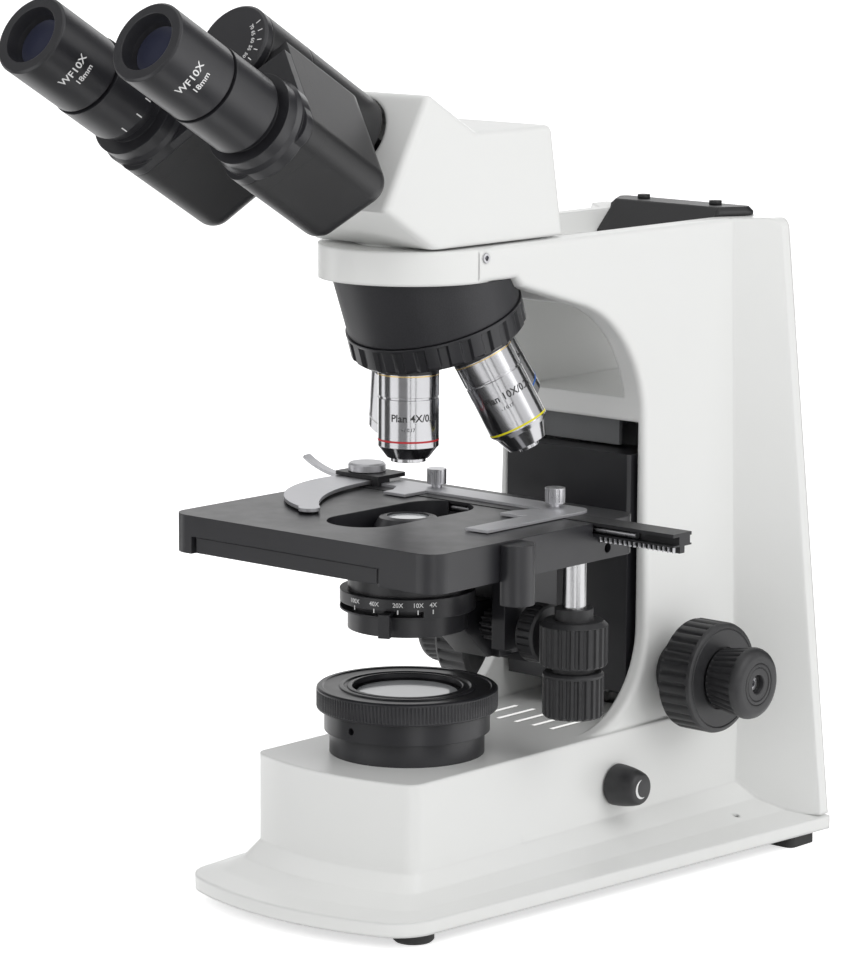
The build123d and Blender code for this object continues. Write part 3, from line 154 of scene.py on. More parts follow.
class StageSettings(bpy.types.PropertyGroup):
    azimuth: bpy.props.FloatProperty(
        name="Azimuth", description="Angle of the camera round the stand", unit="ROTATION",
        default=math.radians(41.316))
    elevation: bpy.props.FloatProperty(
        name="Elevation", description="Height of the camera as an angle", unit="ROTATION",
        default=math.radians(9.594))
    roll: bpy.props.FloatProperty(
        name="Roll", description="Turn of the camera about its view", unit="ROTATION",
        default=math.radians(0.295))
    distance: bpy.props.FloatProperty(
        name="Distance", description="Camera to the aimed point", unit="LENGTH",
        default=1652.893 * MM, min=0.3)
    aim_height: bpy.props.FloatProperty(
        name="Aim height", description="Height of the aimed point on the optical axis", unit="LENGTH",
        default=194 * MM)
    shift_right: bpy.props.FloatProperty(
        name="Shift right", description="Camera's sideways shift from the aimed point", unit="LENGTH",
        default=5.3215 * MM)
    shift_up: bpy.props.FloatProperty(
        name="Shift up", description="Camera's upward shift from the aimed point", unit="LENGTH",
        default=-16.813 * MM)
    lens: bpy.props.FloatProperty(
        name="Lens", description="Focal length in millimetres", default=150.628, min=20, max=400)
    floor_size: bpy.props.FloatProperty(
        name="Floor size", description="Side of the floor", unit="LENGTH", default=36.0, min=1)
    key: bpy.props.FloatProperty(
        name="Key light", description="Watts of the large key light", default=8.0, min=0)


# Shader maths
class Value:
    """A socket with arithmetic; each expression adds its Math node."""

    def __init__(self, graph, socket):
        self.graph = graph
        self.socket = socket

    def math(self, operation, *others):
        return self.graph.node("ShaderNodeMath", {"operation": operation}, [self, *others])

    def __add__(self, other):
        return self.math("ADD", other)

    __radd__ = __add__

    def __sub__(self, other):
        return self.math("SUBTRACT", other)

    def __rsub__(self, other):
        return self.graph.node("ShaderNodeMath", {"operation": "SUBTRACT"}, [other, self])

    def __mul__(self, other):
        return self.math("MULTIPLY", other)

    __rmul__ = __mul__

    def __truediv__(self, other):
        return self.math("DIVIDE", other)

    def __pow__(self, other):
        return self.math("POWER", other)

    def __abs__(self):
        return self.math("ABSOLUTE")

    def above(self, limit):
        return self.math("GREATER_THAN", limit)

    def below(self, limit):
        return self.math("LESS_THAN", limit)

    def sine(self):
        return self.math("SINE")


class Graph:
    """Adds nodes to one node tree."""

    def __init__(self, tree):
        self.tree = tree
        tree.nodes.clear()

    def set(self, socket, value):
        if isinstance(value, Value):
            self.tree.links.new(value.socket, socket)
        elif value is not None:
            socket.default_value = value

    def node(self, kind, settings, inputs, output=0):
        made = self.tree.nodes.new(kind)
        for key, setting in settings.items():
            if key == "stops":
                self.stops(made.color_ramp, setting)
            else:
                setattr(made, key, setting)
        pairs = inputs.items() if isinstance(inputs, dict) else enumerate(inputs)
        for key, value in pairs:
            self.set(made.inputs[key], value)
        return Value(self, made.outputs[output])

    def stops(self, ramp, stops):
        while len(ramp.elements) < len(stops):
            ramp.elements.new(0.5)
        for element, (place, colour) in zip(ramp.elements, stops):
            element.position = place
            element.color = (*colour, 1) if len(colour) == 3 else colour

    def place(self):
        return self.node("ShaderNodeTexCoord", {}, [], "Object")

    def noise(self, scale, detail=2.0, vector=None, roughness=0.5):
        inputs = {"Vector": vector or self.place(), "Scale": scale, "Detail": detail, "Roughness": roughness}
        return self.node("ShaderNodeTexNoise", {}, inputs, "Fac")

    def mix(self, factor, first, second):
        inputs = {0: factor, 6: colour4(first), 7: colour4(second)}
        return self.node("ShaderNodeMix", {"data_type": "RGBA"}, inputs, 2)

    def along(self, point, axis):
        """Distance of the surface from a point, measured along an axis."""
        offset = self.node("ShaderNodeVectorMath", {"operation": "SUBTRACT"}, [self.place(), tuple(point)])
        return self.node("ShaderNodeVectorMath", {"operation": "DOT_PRODUCT"}, [offset, tuple(axis)], "Value")

    def bump(self, height, strength, distance, normal=None):
        inputs = {"Strength": strength, "Distance": distance, "Height": height, "Normal": normal}
        return self.node("ShaderNodeBump", {}, inputs)

    def rounded(self, radius):
        return self.node("ShaderNodeBevel", {"samples": 6}, {"Radius": radius})

    def ray(self, *kinds):
        """1 where the ray is one of some kinds, such as Camera or Glossy."""
        found = 0.0
        for kind in kinds:
            found = self.node("ShaderNodeLightPath", {}, [], f"Is {kind} Ray").math("MAXIMUM", found)
        return found

    def choose(self, factor, first, second):
        return self.node("ShaderNodeMixShader", {}, [factor, first, second])

    def ring_groove(self, centre, axis, radius, width):
        """Height of a flat face with a round groove about an axis: 0 in the groove, 1 outside."""
        offset = self.node("ShaderNodeVectorMath", {"operation": "SUBTRACT"}, [self.place(), tuple(centre)])
        level = self.node("ShaderNodeVectorMath", {"operation": "CROSS_PRODUCT"}, [offset, tuple(axis)])
        away = self.node("ShaderNodeVectorMath", {"operation": "LENGTH"}, [level], "Value")
        return self.groove(away - radius, width)

    def groove(self, distance, width):
        return abs(distance).above(width / 2)


class Finish(Graph):
    """The node tree of one material, with a Principled shader."""

    def __init__(self, name):
        self.material = bpy.data.materials.new(name)
        self.material.use_nodes = True
        super().__init__(self.material.node_tree)
        self.shader = self.tree.nodes.new("ShaderNodeBsdfPrincipled")
        self.output = self.tree.nodes.new("ShaderNodeOutputMaterial")
        self.tree.links.new(self.shader.outputs[0], self.output.inputs["Surface"])

    def principled(self, **values):
        for key, value in values.items():
            self.set(self.shader.inputs[key.replace("_", " ")], value)
        return self.material


def colour4(value):
    if isinstance(value, Value):
        return value
    return (value[0], value[1], value[2], 1.0)


def look():
    return bpy.context.scene.microscope_look


def marks():
    return bpy.context.scene.microscope_marks


# Materials
def enamel():
    g = Finish("white_enamel")
    tone = g.noise(9.0, 3.0)
    colour = tuple(look().enamel)
    warm = (colour[0] * 0.97, colour[1] * 0.97, colour[2] * 0.955)
    peel = g.noise(1400.0, 2.0)
    normal = g.bump(peel, 0.12, 0.0002, g.rounded(2.2 * MM))
    return g.principled(
        Base_Color=g.mix(tone, colour, warm),
        Roughness=0.30 + g.noise(60.0) * 0.08,
        Specular_IOR_Level=0.35,
        Coat_Weight=0.1,
        Coat_Roughness=0.12,
        Normal=normal,
    )


def black_metal():
    g = Finish("black_anodised")
    base = tuple(look().black)
    light = tuple(c * 1.9 for c in base)
    grain = g.noise(5200.0, 1.0)
    return g.principled(
        Base_Color=g.mix(g.noise(35.0, 3.0), base, light),
        Metallic=0.0,
        Roughness=0.30 + g.noise(120.0, 2.0) * 0.10,
        Specular_IOR_Level=0.55,
        Normal=g.bump(grain, 0.05, 0.00004, g.rounded(0.5 * MM)),
    )


def toothed_metal():
    """Black metal whose rack teeth shine at their tips."""
    g = Finish("black_bar")
    base = tuple(look().black)
    low = g.along((0, 0, RACK_TOP), (0, 0, -1)).above(0.0)
    tips = low * g.along((0, AXIS_Y + RACK_TIP_Y, 0), (0, -1, 0)).above(0.0)
    wear = g.noise(900.0, 2.0)
    return g.principled(
        Base_Color=g.mix(tips, base, (0.62, 0.62, 0.64)),
        Metallic=tips,
        Roughness=0.36 + wear * 0.10,
        Normal=g.bump(wear, 0.12, 0.00008, g.rounded(0.25 * MM)),
    )


def crinkle_metal():
    g = Finish("black_crinkle")
    base = tuple(look().black)
    grain = g.noise(1500.0, 3.0)
    return g.principled(
        Base_Color=g.mix(grain, base, tuple(c * 2.2 for c in base)),
        Roughness=0.42 + grain * 0.12,
        Normal=g.bump(grain, 0.35, 0.00015, g.rounded(0.8 * MM)),
    )


def black_plastic():
    g = Finish("black_plastic")
    base = tuple(look().plastic)
    grain = g.noise(2600.0, 2.0)
    return g.principled(
        Base_Color=g.mix(g.noise(25.0), base, tuple(c * 1.6 for c in base)),
        Roughness=0.38 + g.noise(90.0) * 0.08,
        Normal=g.bump(grain, 0.25, 0.0001, g.rounded(1.6 * MM)),
    )


def knob_plastic():
    g = Finish("knob_plastic")
    base = tuple(look().plastic)
    dust = g.noise(300.0, 4.0)
    return g.principled(
        Base_Color=g.mix(dust, base, tuple(c * 2.4 for c in base)),
        Roughness=0.40 + dust * 0.12,
        Normal=g.bump(g.noise(3000.0), 0.15, 0.0001, g.rounded(0.35 * MM)),
    )


def stem_plastic(name, height):
    """Knob plastic up to a height, and a polished steel stem above it."""
    g = Finish(name)
    base = tuple(look().plastic)
    steel = g.along((0, 0, height), (0, 0, 1)).above(0.0)
    dust = g.noise(300.0, 4.0)
    dark = g.mix(dust, base, tuple(c * 2.4 for c in base))
    return g.principled(
        Base_Color=g.mix(steel, dark, (0.50, 0.50, 0.51)),
        Metallic=steel,
        Roughness=(0.40 + dust * 0.12) * (1 - steel * 0.6),
        Normal=g.bump(g.noise(3000.0), 0.12, 0.0001, g.rounded(0.35 * MM)),
    )


def faced_plastic(name, centre, *radii):
    """Knob plastic with moulded round grooves in its end face."""
    g = Finish(name)
    base = tuple(look().plastic)
    rings = 1.0
    for radius in radii:
        rings = g.ring_groove(centre, (1, 0, 0), radius, 0.6 * MM) * rings
    dust = g.noise(300.0, 4.0)
    return g.principled(
        Base_Color=g.mix(dust, base, tuple(c * 2.4 for c in base)),
        Roughness=0.40 + dust * 0.12,
        Normal=g.bump(rings, 0.8, 0.0006, g.rounded(0.35 * MM)),
    )


def prism_plastic():
    """Grained plastic of the prism boxes, with the seam of their front covers."""
    g = Finish("prism_plastic")
    base = tuple(look().plastic)
    grain = g.noise(2200.0, 3.0)
    seam = g.groove(g.along(HINGE_POINT, TUBE_AXIS) - SEAM_REACH, 0.5 * MM)
    height = seam * 3.0 + grain * 0.25
    return g.principled(
        Base_Color=g.mix(g.noise(25.0), base, tuple(c * 1.7 for c in base)),
        Roughness=0.34 + grain * 0.10,
        Normal=g.bump(height, 0.6, 0.0002, g.rounded(1.2 * MM)),
    )


def turned_chrome(name, point, axis):
    g = Finish(name)
    height = g.along(point, axis)
    line = g.node("ShaderNodeCombineXYZ", {}, [height * 9000.0, 0.0, 0.0])
    rings = g.noise(1.0, 2.0, line)
    return g.principled(
        Base_Color=g.mix(g.noise(40.0), (0.52, 0.52, 0.535), (0.45, 0.45, 0.465)),
        Metallic=1.0,
        Roughness=0.12 + rings * 0.08,
        Normal=g.bump(rings, 0.10, 0.00004, g.rounded(0.25 * MM)),
    )


def bright_steel():
    g = Finish("bright_steel")
    brushed = g.noise(700.0, 3.0)
    return g.principled(
        Base_Color=g.mix(g.noise(30.0), (0.62, 0.62, 0.64), (0.54, 0.54, 0.56)),
        Metallic=1.0,
        Roughness=0.24 + brushed * 0.10,
        Normal=g.bump(brushed, 0.06, 0.00005, g.rounded(0.2 * MM)),
    )


def satin_aluminium():
    g = Finish("satin_aluminium")
    wide = g.node("ShaderNodeVectorMath", {"operation": "MULTIPLY"}, [g.place(), (40.0, 2600.0, 400.0)])
    brush = g.noise(1.0, 3.0, wide)
    return g.principled(
        Base_Color=g.mix(brush, (0.60, 0.60, 0.62), (0.50, 0.50, 0.52)),
        Metallic=0.85,
        Roughness=0.36 + brush * 0.12,
        Normal=g.bump(brush, 0.08, 0.00005, g.rounded(0.3 * MM)),
    )


def grey_metal():
    g = Finish("grey_metal")
    return g.principled(
        Base_Color=g.mix(g.noise(30.0), (0.22, 0.225, 0.23), (0.17, 0.175, 0.18)),
        Metallic=0.3,
        Roughness=0.42 + g.noise(200.0) * 0.1,
        Normal=g.bump(g.noise(1800.0), 0.12, 0.0001, g.rounded(0.4 * MM)),
    )


def rubber():
    g = Finish("rubber")
    return g.principled(
        Base_Color=g.mix(g.noise(200.0), (0.012, 0.012, 0.012), (0.03, 0.03, 0.03)),
        Roughness=0.62 + g.noise(400.0) * 0.15,
        Normal=g.bump(g.noise(1500.0), 0.3, 0.0001),
    )


def brass():
    g = Finish("brass")
    return g.principled(
        Base_Color=g.mix(g.noise(60.0), (0.72, 0.53, 0.24), (0.60, 0.43, 0.18)),
        Metallic=1.0,
        Roughness=0.25 + g.noise(500.0) * 0.12,
        Normal=g.bump(g.noise(1500.0), 0.05, 0.00005),
    )


def board():
    g = Finish("circuit_board")
    return g.principled(
        Base_Color=g.mix(g.noise(120.0), (0.02, 0.12, 0.05), (0.03, 0.18, 0.08)),
        Roughness=0.45 + g.noise(300.0) * 0.1,
        Normal=g.bump(g.noise(800.0), 0.1, 0.0001),
    )


def lens_glass(name, tint, rough):
    g = Finish(name)
    haze = g.noise(80.0)
    return g.principled(
        Base_Color=g.mix(haze, tint, tuple(c * 0.9 for c in tint)),
        Roughness=rough + haze * 0.03,
        Coat_Weight=0.4,
        Coat_Roughness=0.03,
        Normal=g.bump(haze, 0.02, 0.0001),
    )


def paint(name, colour, rough=0.4):
    g = Finish(name)
    wear = g.noise(900.0, 3.0)
    return g.principled(
        Base_Color=g.mix(wear, colour, tuple(c * 0.88 for c in colour)),
        Roughness=rough + wear * 0.08,
        Normal=g.bump(wear, 0.05, 0.00005),
    )


def painted_glow_slot():
    """Pale plastic with a painted glow: an emission that stands in for the lamp's light showing from inside."""
    g = Finish("painted_glow_slot")
    tone = g.noise(40.0)
    return g.principled(
        Base_Color=g.mix(tone, (0.85, 0.85, 0.83), (0.78, 0.78, 0.76)),
        Roughness=0.4 + tone * 0.1,
        # Painted light: this emission makes the strips glow as the lamp's light would, though they are no lamp
        Emission_Color=g.mix(tone, (1.0, 1.0, 0.97), (0.9, 0.9, 0.88)),
        Emission_Strength=0.7,
    )


def assign(material, *names):
    for name in names:
        node = frame["nodes"][name]
        if not node.data.materials:
            node.data.materials.append(material)
        for index in range(len(node.data.materials)):
            node.data.materials[index] = material


def lens_axis(index):
    """Direction of an objective's axis, turned about the nosepiece from the one in use."""
    return Matrix.Rotation(math.radians(90 * index), 3, TURRET_AXIS) @ Vector((0, 0, 1))


# Mesh helpers
def piece(name, build, material, body, smooth=True):
    mesh = bpy.data.meshes.new(name)
    bm = bmesh.new()
    build(bm)
    bmesh.ops.recalc_face_normals(bm, faces=bm.faces)
    bm.to_mesh(mesh)
    bm.free()
    made = bpy.data.objects.new(name, mesh)
    bpy.context.scene.collection.objects.link(made)
    mesh.materials.append(material)
    if smooth:
        for face in mesh.polygons:
            face.use_smooth = True
        mesh.set_sharp_from_angle(angle=math.radians(35))
    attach(made, body)
    return made


def revolved(bm, profile, place, steps=72):
    """A closed ring swept from (radius, height) points about the place's Z."""
    ribbed(bm, [(radius, height, 0) for radius, height in profile], place, (0,) * steps)


def ribbed(bm, profile, place, cuts):
    """A ring swept from (radius, height, share) points, cut in by each step's depth times the share."""
    rows = []
    for step, cut in enumerate(cuts):
        angle = 2 * math.pi * step / len(cuts)
        turn = Vector((math.cos(angle), math.sin(angle), 0))
        rows.append([bm.verts.new(place @ (turn * (r - cut * share) + Vector((0, 0, z))))
                     for r, z, share in profile])
    count = len(profile)
    for step in range(len(cuts)):
        here, there = rows[step], rows[(step + 1) % len(cuts)]
        for index in range(count):
            other = (index + 1) % count
            bm.faces.new((here[index], there[index], there[other], here[other]))


def frame_at(origin, z_axis, x_hint):
    z = Vector(z_axis).normalized()
    y = z.cross(Vector(x_hint)).normalized()
    x = y.cross(z)
    turn = Matrix((x, y, z)).transposed().to_4x4()
    return Matrix.Translation(origin) @ turn


# Operators
class MICROSCOPE_OT_finishes(bpy.types.Operator):
    """Give every carried-over CAD node its finish"""
    bl_idname = "microscope.finishes"
    bl_label = "Finishes"

    def execute(self, context):
        assign(enamel(), "stand_casting", "head_housing")
        assign(black_metal(), "field_lens_housing", "stage_plate", "stage_lower_plate", "drive_post",
               "condenser_body", "iris_lever", "focus_carriage", "condenser_carrier",
               "carriage_cover", "eyetube_left", "eyetube_right", "eyepiece_left", "eyepiece_right",
               "head_pivot", "base_plate", "dioptre_ring", "nosepiece_turret", "field_ring")
        assign(toothed_metal(), "x_rack_bar")
        assign(crinkle_metal(), "nosepiece_mount")
        assign(black_plastic(), "handle_cover", "power_inlet", "power_switch", "housing_screws")
        assign(prism_plastic(), "prism_box_left", "prism_box_right")
        low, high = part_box("coarse_knob_right")
        drive = (0, (low.y + high.y) / 2, (low.z + high.z) / 2)
        assign(faced_plastic("coarse_plastic", drive, 21.4 * MM), "coarse_knob_left", "coarse_knob_right")
        assign(faced_plastic("fine_plastic", drive, 9.6 * MM, 7.4 * MM), "fine_knob_left", "fine_knob_right")
        assign(stem_plastic("drive_plastic", STEM_START), "stage_y_knob")
        assign(knob_plastic(), "stage_x_knob", "condenser_knob", "dimmer_knob")
        assign(bright_steel(), "head_lock_screw", "coarse_shaft", "fine_shaft",
               "condenser_screws", "nosepiece_pivot", "x_guide_rail", "thumb_screws")
        assign(satin_aluminium(), "slide_holder", "slide_finger", "lamp_module")
        assign(grey_metal(), "focus_guide", "focus_rack")
        assign(rubber(), "rubber_feet")
        assign(board(), "circuit_board")
        assign(lens_glass("lamp_glass", (0.62, 0.64, 0.66), 0.12), "field_lens", "condenser_lens")
        assign(lens_glass("eye_glass", (0.03, 0.033, 0.06), 0.06), "eye_lens_left", "eye_lens_right")
        for index, name in enumerate(("objective_4x", "objective_10x", "objective_40x", "objective_100x")):
            assign(turned_chrome(f"chrome_{name}", TURRET_POINT, lens_axis(index)), name)
        assign(turned_chrome("chrome_nose_40x", TURRET_POINT, lens_axis(2)), "nose_40x")
        assign(turned_chrome("chrome_nose_100x", TURRET_POINT, lens_axis(3)), "nose_100x")
        return {"FINISHED"}


def ring_band(name, origin, axis, radius, height, material, body):
    """A thin painted ring round a cylinder."""
    rise = marks().band_rise
    low, high = -height / 2, height / 2
    profile = [(radius - rise, low), (radius + rise, low), (radius + rise, high), (radius - rise, high)]
    place = frame_at(origin, axis, (1, 0.3, 0.2))
    return piece(name, lambda bm: revolved(bm, profile, place, 96), material, body)


def text_mesh(words, size):
    """The flat outline of some words, centred, as points and faces."""
    curve = bpy.data.curves.new("words", "FONT")
    curve.body = words
    curve.size = size
    curve.align_x = "CENTER"
    curve.align_y = "CENTER"
    curve.resolution_u = 3
    curve.offset = size * 0.015
    holder = bpy.data.objects.new("words", curve)
    bpy.context.scene.collection.objects.link(holder)
    bpy.context.view_layer.update()
    mesh = holder.evaluated_get(bpy.context.evaluated_depsgraph_get()).to_mesh()
    points = [vertex.co.copy() for vertex in mesh.vertices]
    faces = [tuple(face.vertices) for face in mesh.polygons]
    holder.to_mesh_clear()
    bpy.data.objects.remove(holder)
    bpy.data.curves.remove(curve)
    return points, faces


def wrapped(name, shapes, place, radius, material, body):
    """Lay flat shapes round a cylinder about the place's Z, with X facing the reader."""
    lift = radius + marks().band_rise

    def build(bm):
        for points, faces, angle, height in shapes:
            rows = []
            for point in points:
                turn = angle + point.x / radius
                rows.append(bm.verts.new(place @ Vector((lift * math.cos(turn), lift * math.sin(turn), height + point.y))))
            for face in faces:
                bm.faces.new([rows[index] for index in face])

    return piece(name, build, material, body, smooth=False)


def tick(width, height):
    """A small upright rectangle, as points and a face."""
    w, h = width / 2, height / 2
    return [Vector((-w, -h, 0)), Vector((w, -h, 0)), Vector((w, h, 0)), Vector((-w, h, 0))], [(0, 1, 2, 3)]


def to_camera():
    """Level direction from the stand to the camera."""
    a = bpy.context.scene.microscope_stage.azimuth
    return Vector((math.sin(a), -math.cos(a), 0))


class MICROSCOPE_OT_objective_marks(bpy.types.Operator):
    """Paint the brass seat line, the colour band and the figures of each objective"""
    bl_idname = "microscope.objective_marks"
    bl_label = "Objective marks"

    def execute(self, context):
        black = paint("black_figures", (0.02, 0.02, 0.02))
        gold = brass()
        for index, (power, colour, reach, number) in enumerate(OBJECTIVES):
            axis = lens_axis(index)
            ring_band(f"brass_line_{power}x", TURRET_POINT - axis * BRASS_REACH, axis, OBJECTIVE_RADIUS,
                      0.5 * MM, gold, "turret")
            ring_band(f"colour_band_{power}x", TURRET_POINT - axis * reach, axis, OBJECTIVE_RADIUS,
                      BAND_HEIGHT, paint(f"band_{power}x", colour, 0.3), "turret")
            place = frame_at(TURRET_POINT, axis, to_camera())
            large = text_mesh(f"Plan {power}X/{number}", 4.3 * MM)
            small = text_mesh("- / 0.17", 2.0 * MM)
            shapes = [(*large, TEXT_TURN, -TEXT_REACH), (*small, 0.0, -SMALL_TEXT_REACH)]
            wrapped(f"figures_{power}x", shapes, place, OBJECTIVE_RADIUS, black, "turret")
        return {"FINISHED"}


# Power, colour, reach of the colour band and aperture of each objective
OBJECTIVES = (
    (4, (0.55, 0.01, 0.02), 93.8 * MM, "0.10"),
    (10, (0.80, 0.72, 0.01), 98.2 * MM, "0.25"),
    (40, (0.02, 0.16, 0.62), 101.0 * MM, "0.65"),
    (100, (0.75, 0.75, 0.75), 101.0 * MM, "1.25"),
)


class MICROSCOPE_OT_condenser_marks(bpy.types.Operator):
    """Write the aperture figures and their ticks on the condenser's drum"""
    bl_idname = "microscope.condenser_marks"
    bl_label = "Condenser marks"

    def execute(self, context):
        white = paint("white_figures", tuple(look().marking))
        place = frame_at((AXIS_X, AXIS_Y, 0), (0, 0, 1), to_camera())
        shapes = []
        for power, degrees in ((100, -50), (40, -29), (20, -8), (10, 9), (4, 22)):
            angle = math.radians(degrees)
            shapes.append((*text_mesh(f"{power}X", marks().figure_height), angle, 128.6 * MM))
            shapes.append((*tick(marks().tick_width, 1.8 * MM), angle, 125.8 * MM))
        wrapped("condenser_figures", shapes, place, 28.3 * MM, white, "condenser")
        return {"FINISHED"}


class MICROSCOPE_OT_eyepiece_marks(bpy.types.Operator):
    """Write the power on each eyepiece and the ticks on the dioptre ring"""
    bl_idname = "microscope.eyepiece_marks"
    bl_label = "Eyepiece marks"

    def execute(self, context):
        white = paint("white_marks", tuple(look().marking))
        for side, body in (("right", "right_arm"), ("left", "left_arm")):
            low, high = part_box(f"eye_lens_{side}")
            middle = (low + high) / 2
            place = frame_at(middle, TUBE_AXIS, to_camera())
            lines = [
                (*text_mesh("WF10X", 4.6 * MM), 0.04, -5 * MM),
                (*text_mesh("18mm", 3.6 * MM), 0.12, -10 * MM),
            ]
            wrapped(f"eyepiece_figures_{side}", lines, place, 16.3 * MM, white, body)
        low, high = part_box("eye_lens_left")
        place = frame_at((low + high) / 2, TUBE_AXIS, to_camera())
        ticks = [(*tick(marks().tick_width, 3.2 * MM), math.radians(angle), -43 * MM) for angle in (-22, 6, 30)]
        wrapped("dioptre_ticks", ticks, place, 16.7 * MM, white, "dioptre")
        return {"FINISHED"}


def laid(name, shapes, place, material, body):
    """Lay flat shapes on a face across the place's Z, each with its top away from the centre."""

    def build(bm):
        for points, faces, angle, radius in shapes:
            turn = Matrix.Rotation(angle, 4, "Z")
            rows = []
            for point in points:
                level = Vector((point.x, radius + point.y, marks().band_rise))
                rows.append(bm.verts.new(place @ turn @ level))
            for face in faces:
                bm.faces.new([rows[index] for index in face])

    return piece(name, build, material, body, smooth=False)


class MICROSCOPE_OT_eye_distance_scale(bpy.types.Operator):
    """Write the eye distance figures on the hinge disc between the eye tubes"""
    bl_idname = "microscope.eye_distance_scale"
    bl_label = "Eye distance scale"

    def execute(self, context):
        points = [vertex.co - HINGE_POINT for vertex in frame["nodes"]["head_pivot"].data.vertices]
        reach = max(point.dot(TUBE_AXIS) for point in points)
        place = frame_at(HINGE_POINT + TUBE_AXIS * reach, TUBE_AXIS, to_camera())
        shapes = []
        for index, figure in enumerate(("50", "55", "60", "65", "70")):
            angle = math.radians(-86 + 18 * index)
            shapes.append((*text_mesh(figure, 2.4 * MM), angle, 10.4 * MM))
            shapes.append((*tick(0.4 * MM, 2.2 * MM), angle, 13.8 * MM))
        laid("eye_distance_figures", shapes, place, paint("scale_figures", tuple(look().marking)), "head")
        return {"FINISHED"}


class MICROSCOPE_OT_dimmer_mark(bpy.types.Operator):
    """Paint the white crescent on the end face of the lamp dimmer"""
    bl_idname = "microscope.dimmer_mark"
    bl_label = "Dimmer mark"

    def execute(self, context):
        low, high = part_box("dimmer_knob")
        centre = Vector((high.x + marks().band_rise, (low.y + high.y) / 2, (low.z + high.z) / 2))

        def build(bm):
            outer, inner = [], []
            for step in range(17):
                angle = math.radians(95 + 200 * step / 16)
                width = 1.4 * MM * math.sin(math.pi * (step + 0.6) / 17.2)
                turn = Vector((0, math.cos(angle), math.sin(angle)))
                outer.append(bm.verts.new(centre + turn * 4.2 * MM))
                inner.append(bm.verts.new(centre + turn * (4.2 * MM - width)))
            for step in range(16):
                bm.faces.new((outer[step], outer[step + 1], inner[step + 1], inner[step]))

        piece("dimmer_crescent", build, paint("white_crescent", tuple(look().marking)), "dimmer", smooth=False)
        return {"FINISHED"}


class MICROSCOPE_OT_knurled_ring(bpy.types.Operator):
    """Cut the fine upright knurl and the stepped top of the ring round the field lens"""
    bl_idname = "microscope.knurled_ring"
    bl_label = "Knurled ring"

    def execute(self, context):
        low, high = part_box("field_ring")
        outer = (high.x - low.x) / 2
        grip_low, grip_high = low.z + 1.0 * MM, high.z - 1.3 * MM
        profile = [
            (26.05 * MM, low.z, 0),
            (outer - 0.6 * MM, low.z, 0),
            (outer - 0.1 * MM, low.z + 0.5 * MM, 0),
            (outer - 0.1 * MM, grip_low, 0),
            (outer, grip_low + 0.2 * MM, 1),
            (outer, grip_high - 0.2 * MM, 1),
            (outer - 0.1 * MM, grip_high, 0),
            (outer - 0.1 * MM, high.z - 0.7 * MM, 0),
            (outer - 0.9 * MM, high.z, 0),
            (outer - 2.6 * MM, high.z, 0),
            (outer - 3.0 * MM, high.z - 0.5 * MM, 0),
            (28.6 * MM, high.z - 0.7 * MM, 0),
            (28.2 * MM, high.z - 0.1 * MM, 0),
            (26.8 * MM, high.z, 0),
            (26.2 * MM, high.z - 0.8 * MM, 0),
            (25.2 * MM, high.z - 0.8 * MM, 0),
            (24.8 * MM, high.z - 0.2 * MM, 0),
            (23.4 * MM, high.z, 0),
            (23.0 * MM, high.z - 0.4 * MM, 0),
            (23.0 * MM, high.z - 2.2 * MM, 0),
            (26.05 * MM, high.z - 2.2 * MM, 0),
        ]

        place = Matrix.Translation((AXIS_X, AXIS_Y, 0))
        cuts = (0.0, 0.0, KNURL_DEPTH, KNURL_DEPTH) * KNURL_COUNT
        ring = piece("knurled_ring", lambda bm: ribbed(bm, profile, place, cuts), look_of("field_ring"),
                     "field_diaphragm")
        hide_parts("field_ring")
        return {"FINISHED"}


def look_of(node):
    return frame["nodes"][node].data.materials[0]


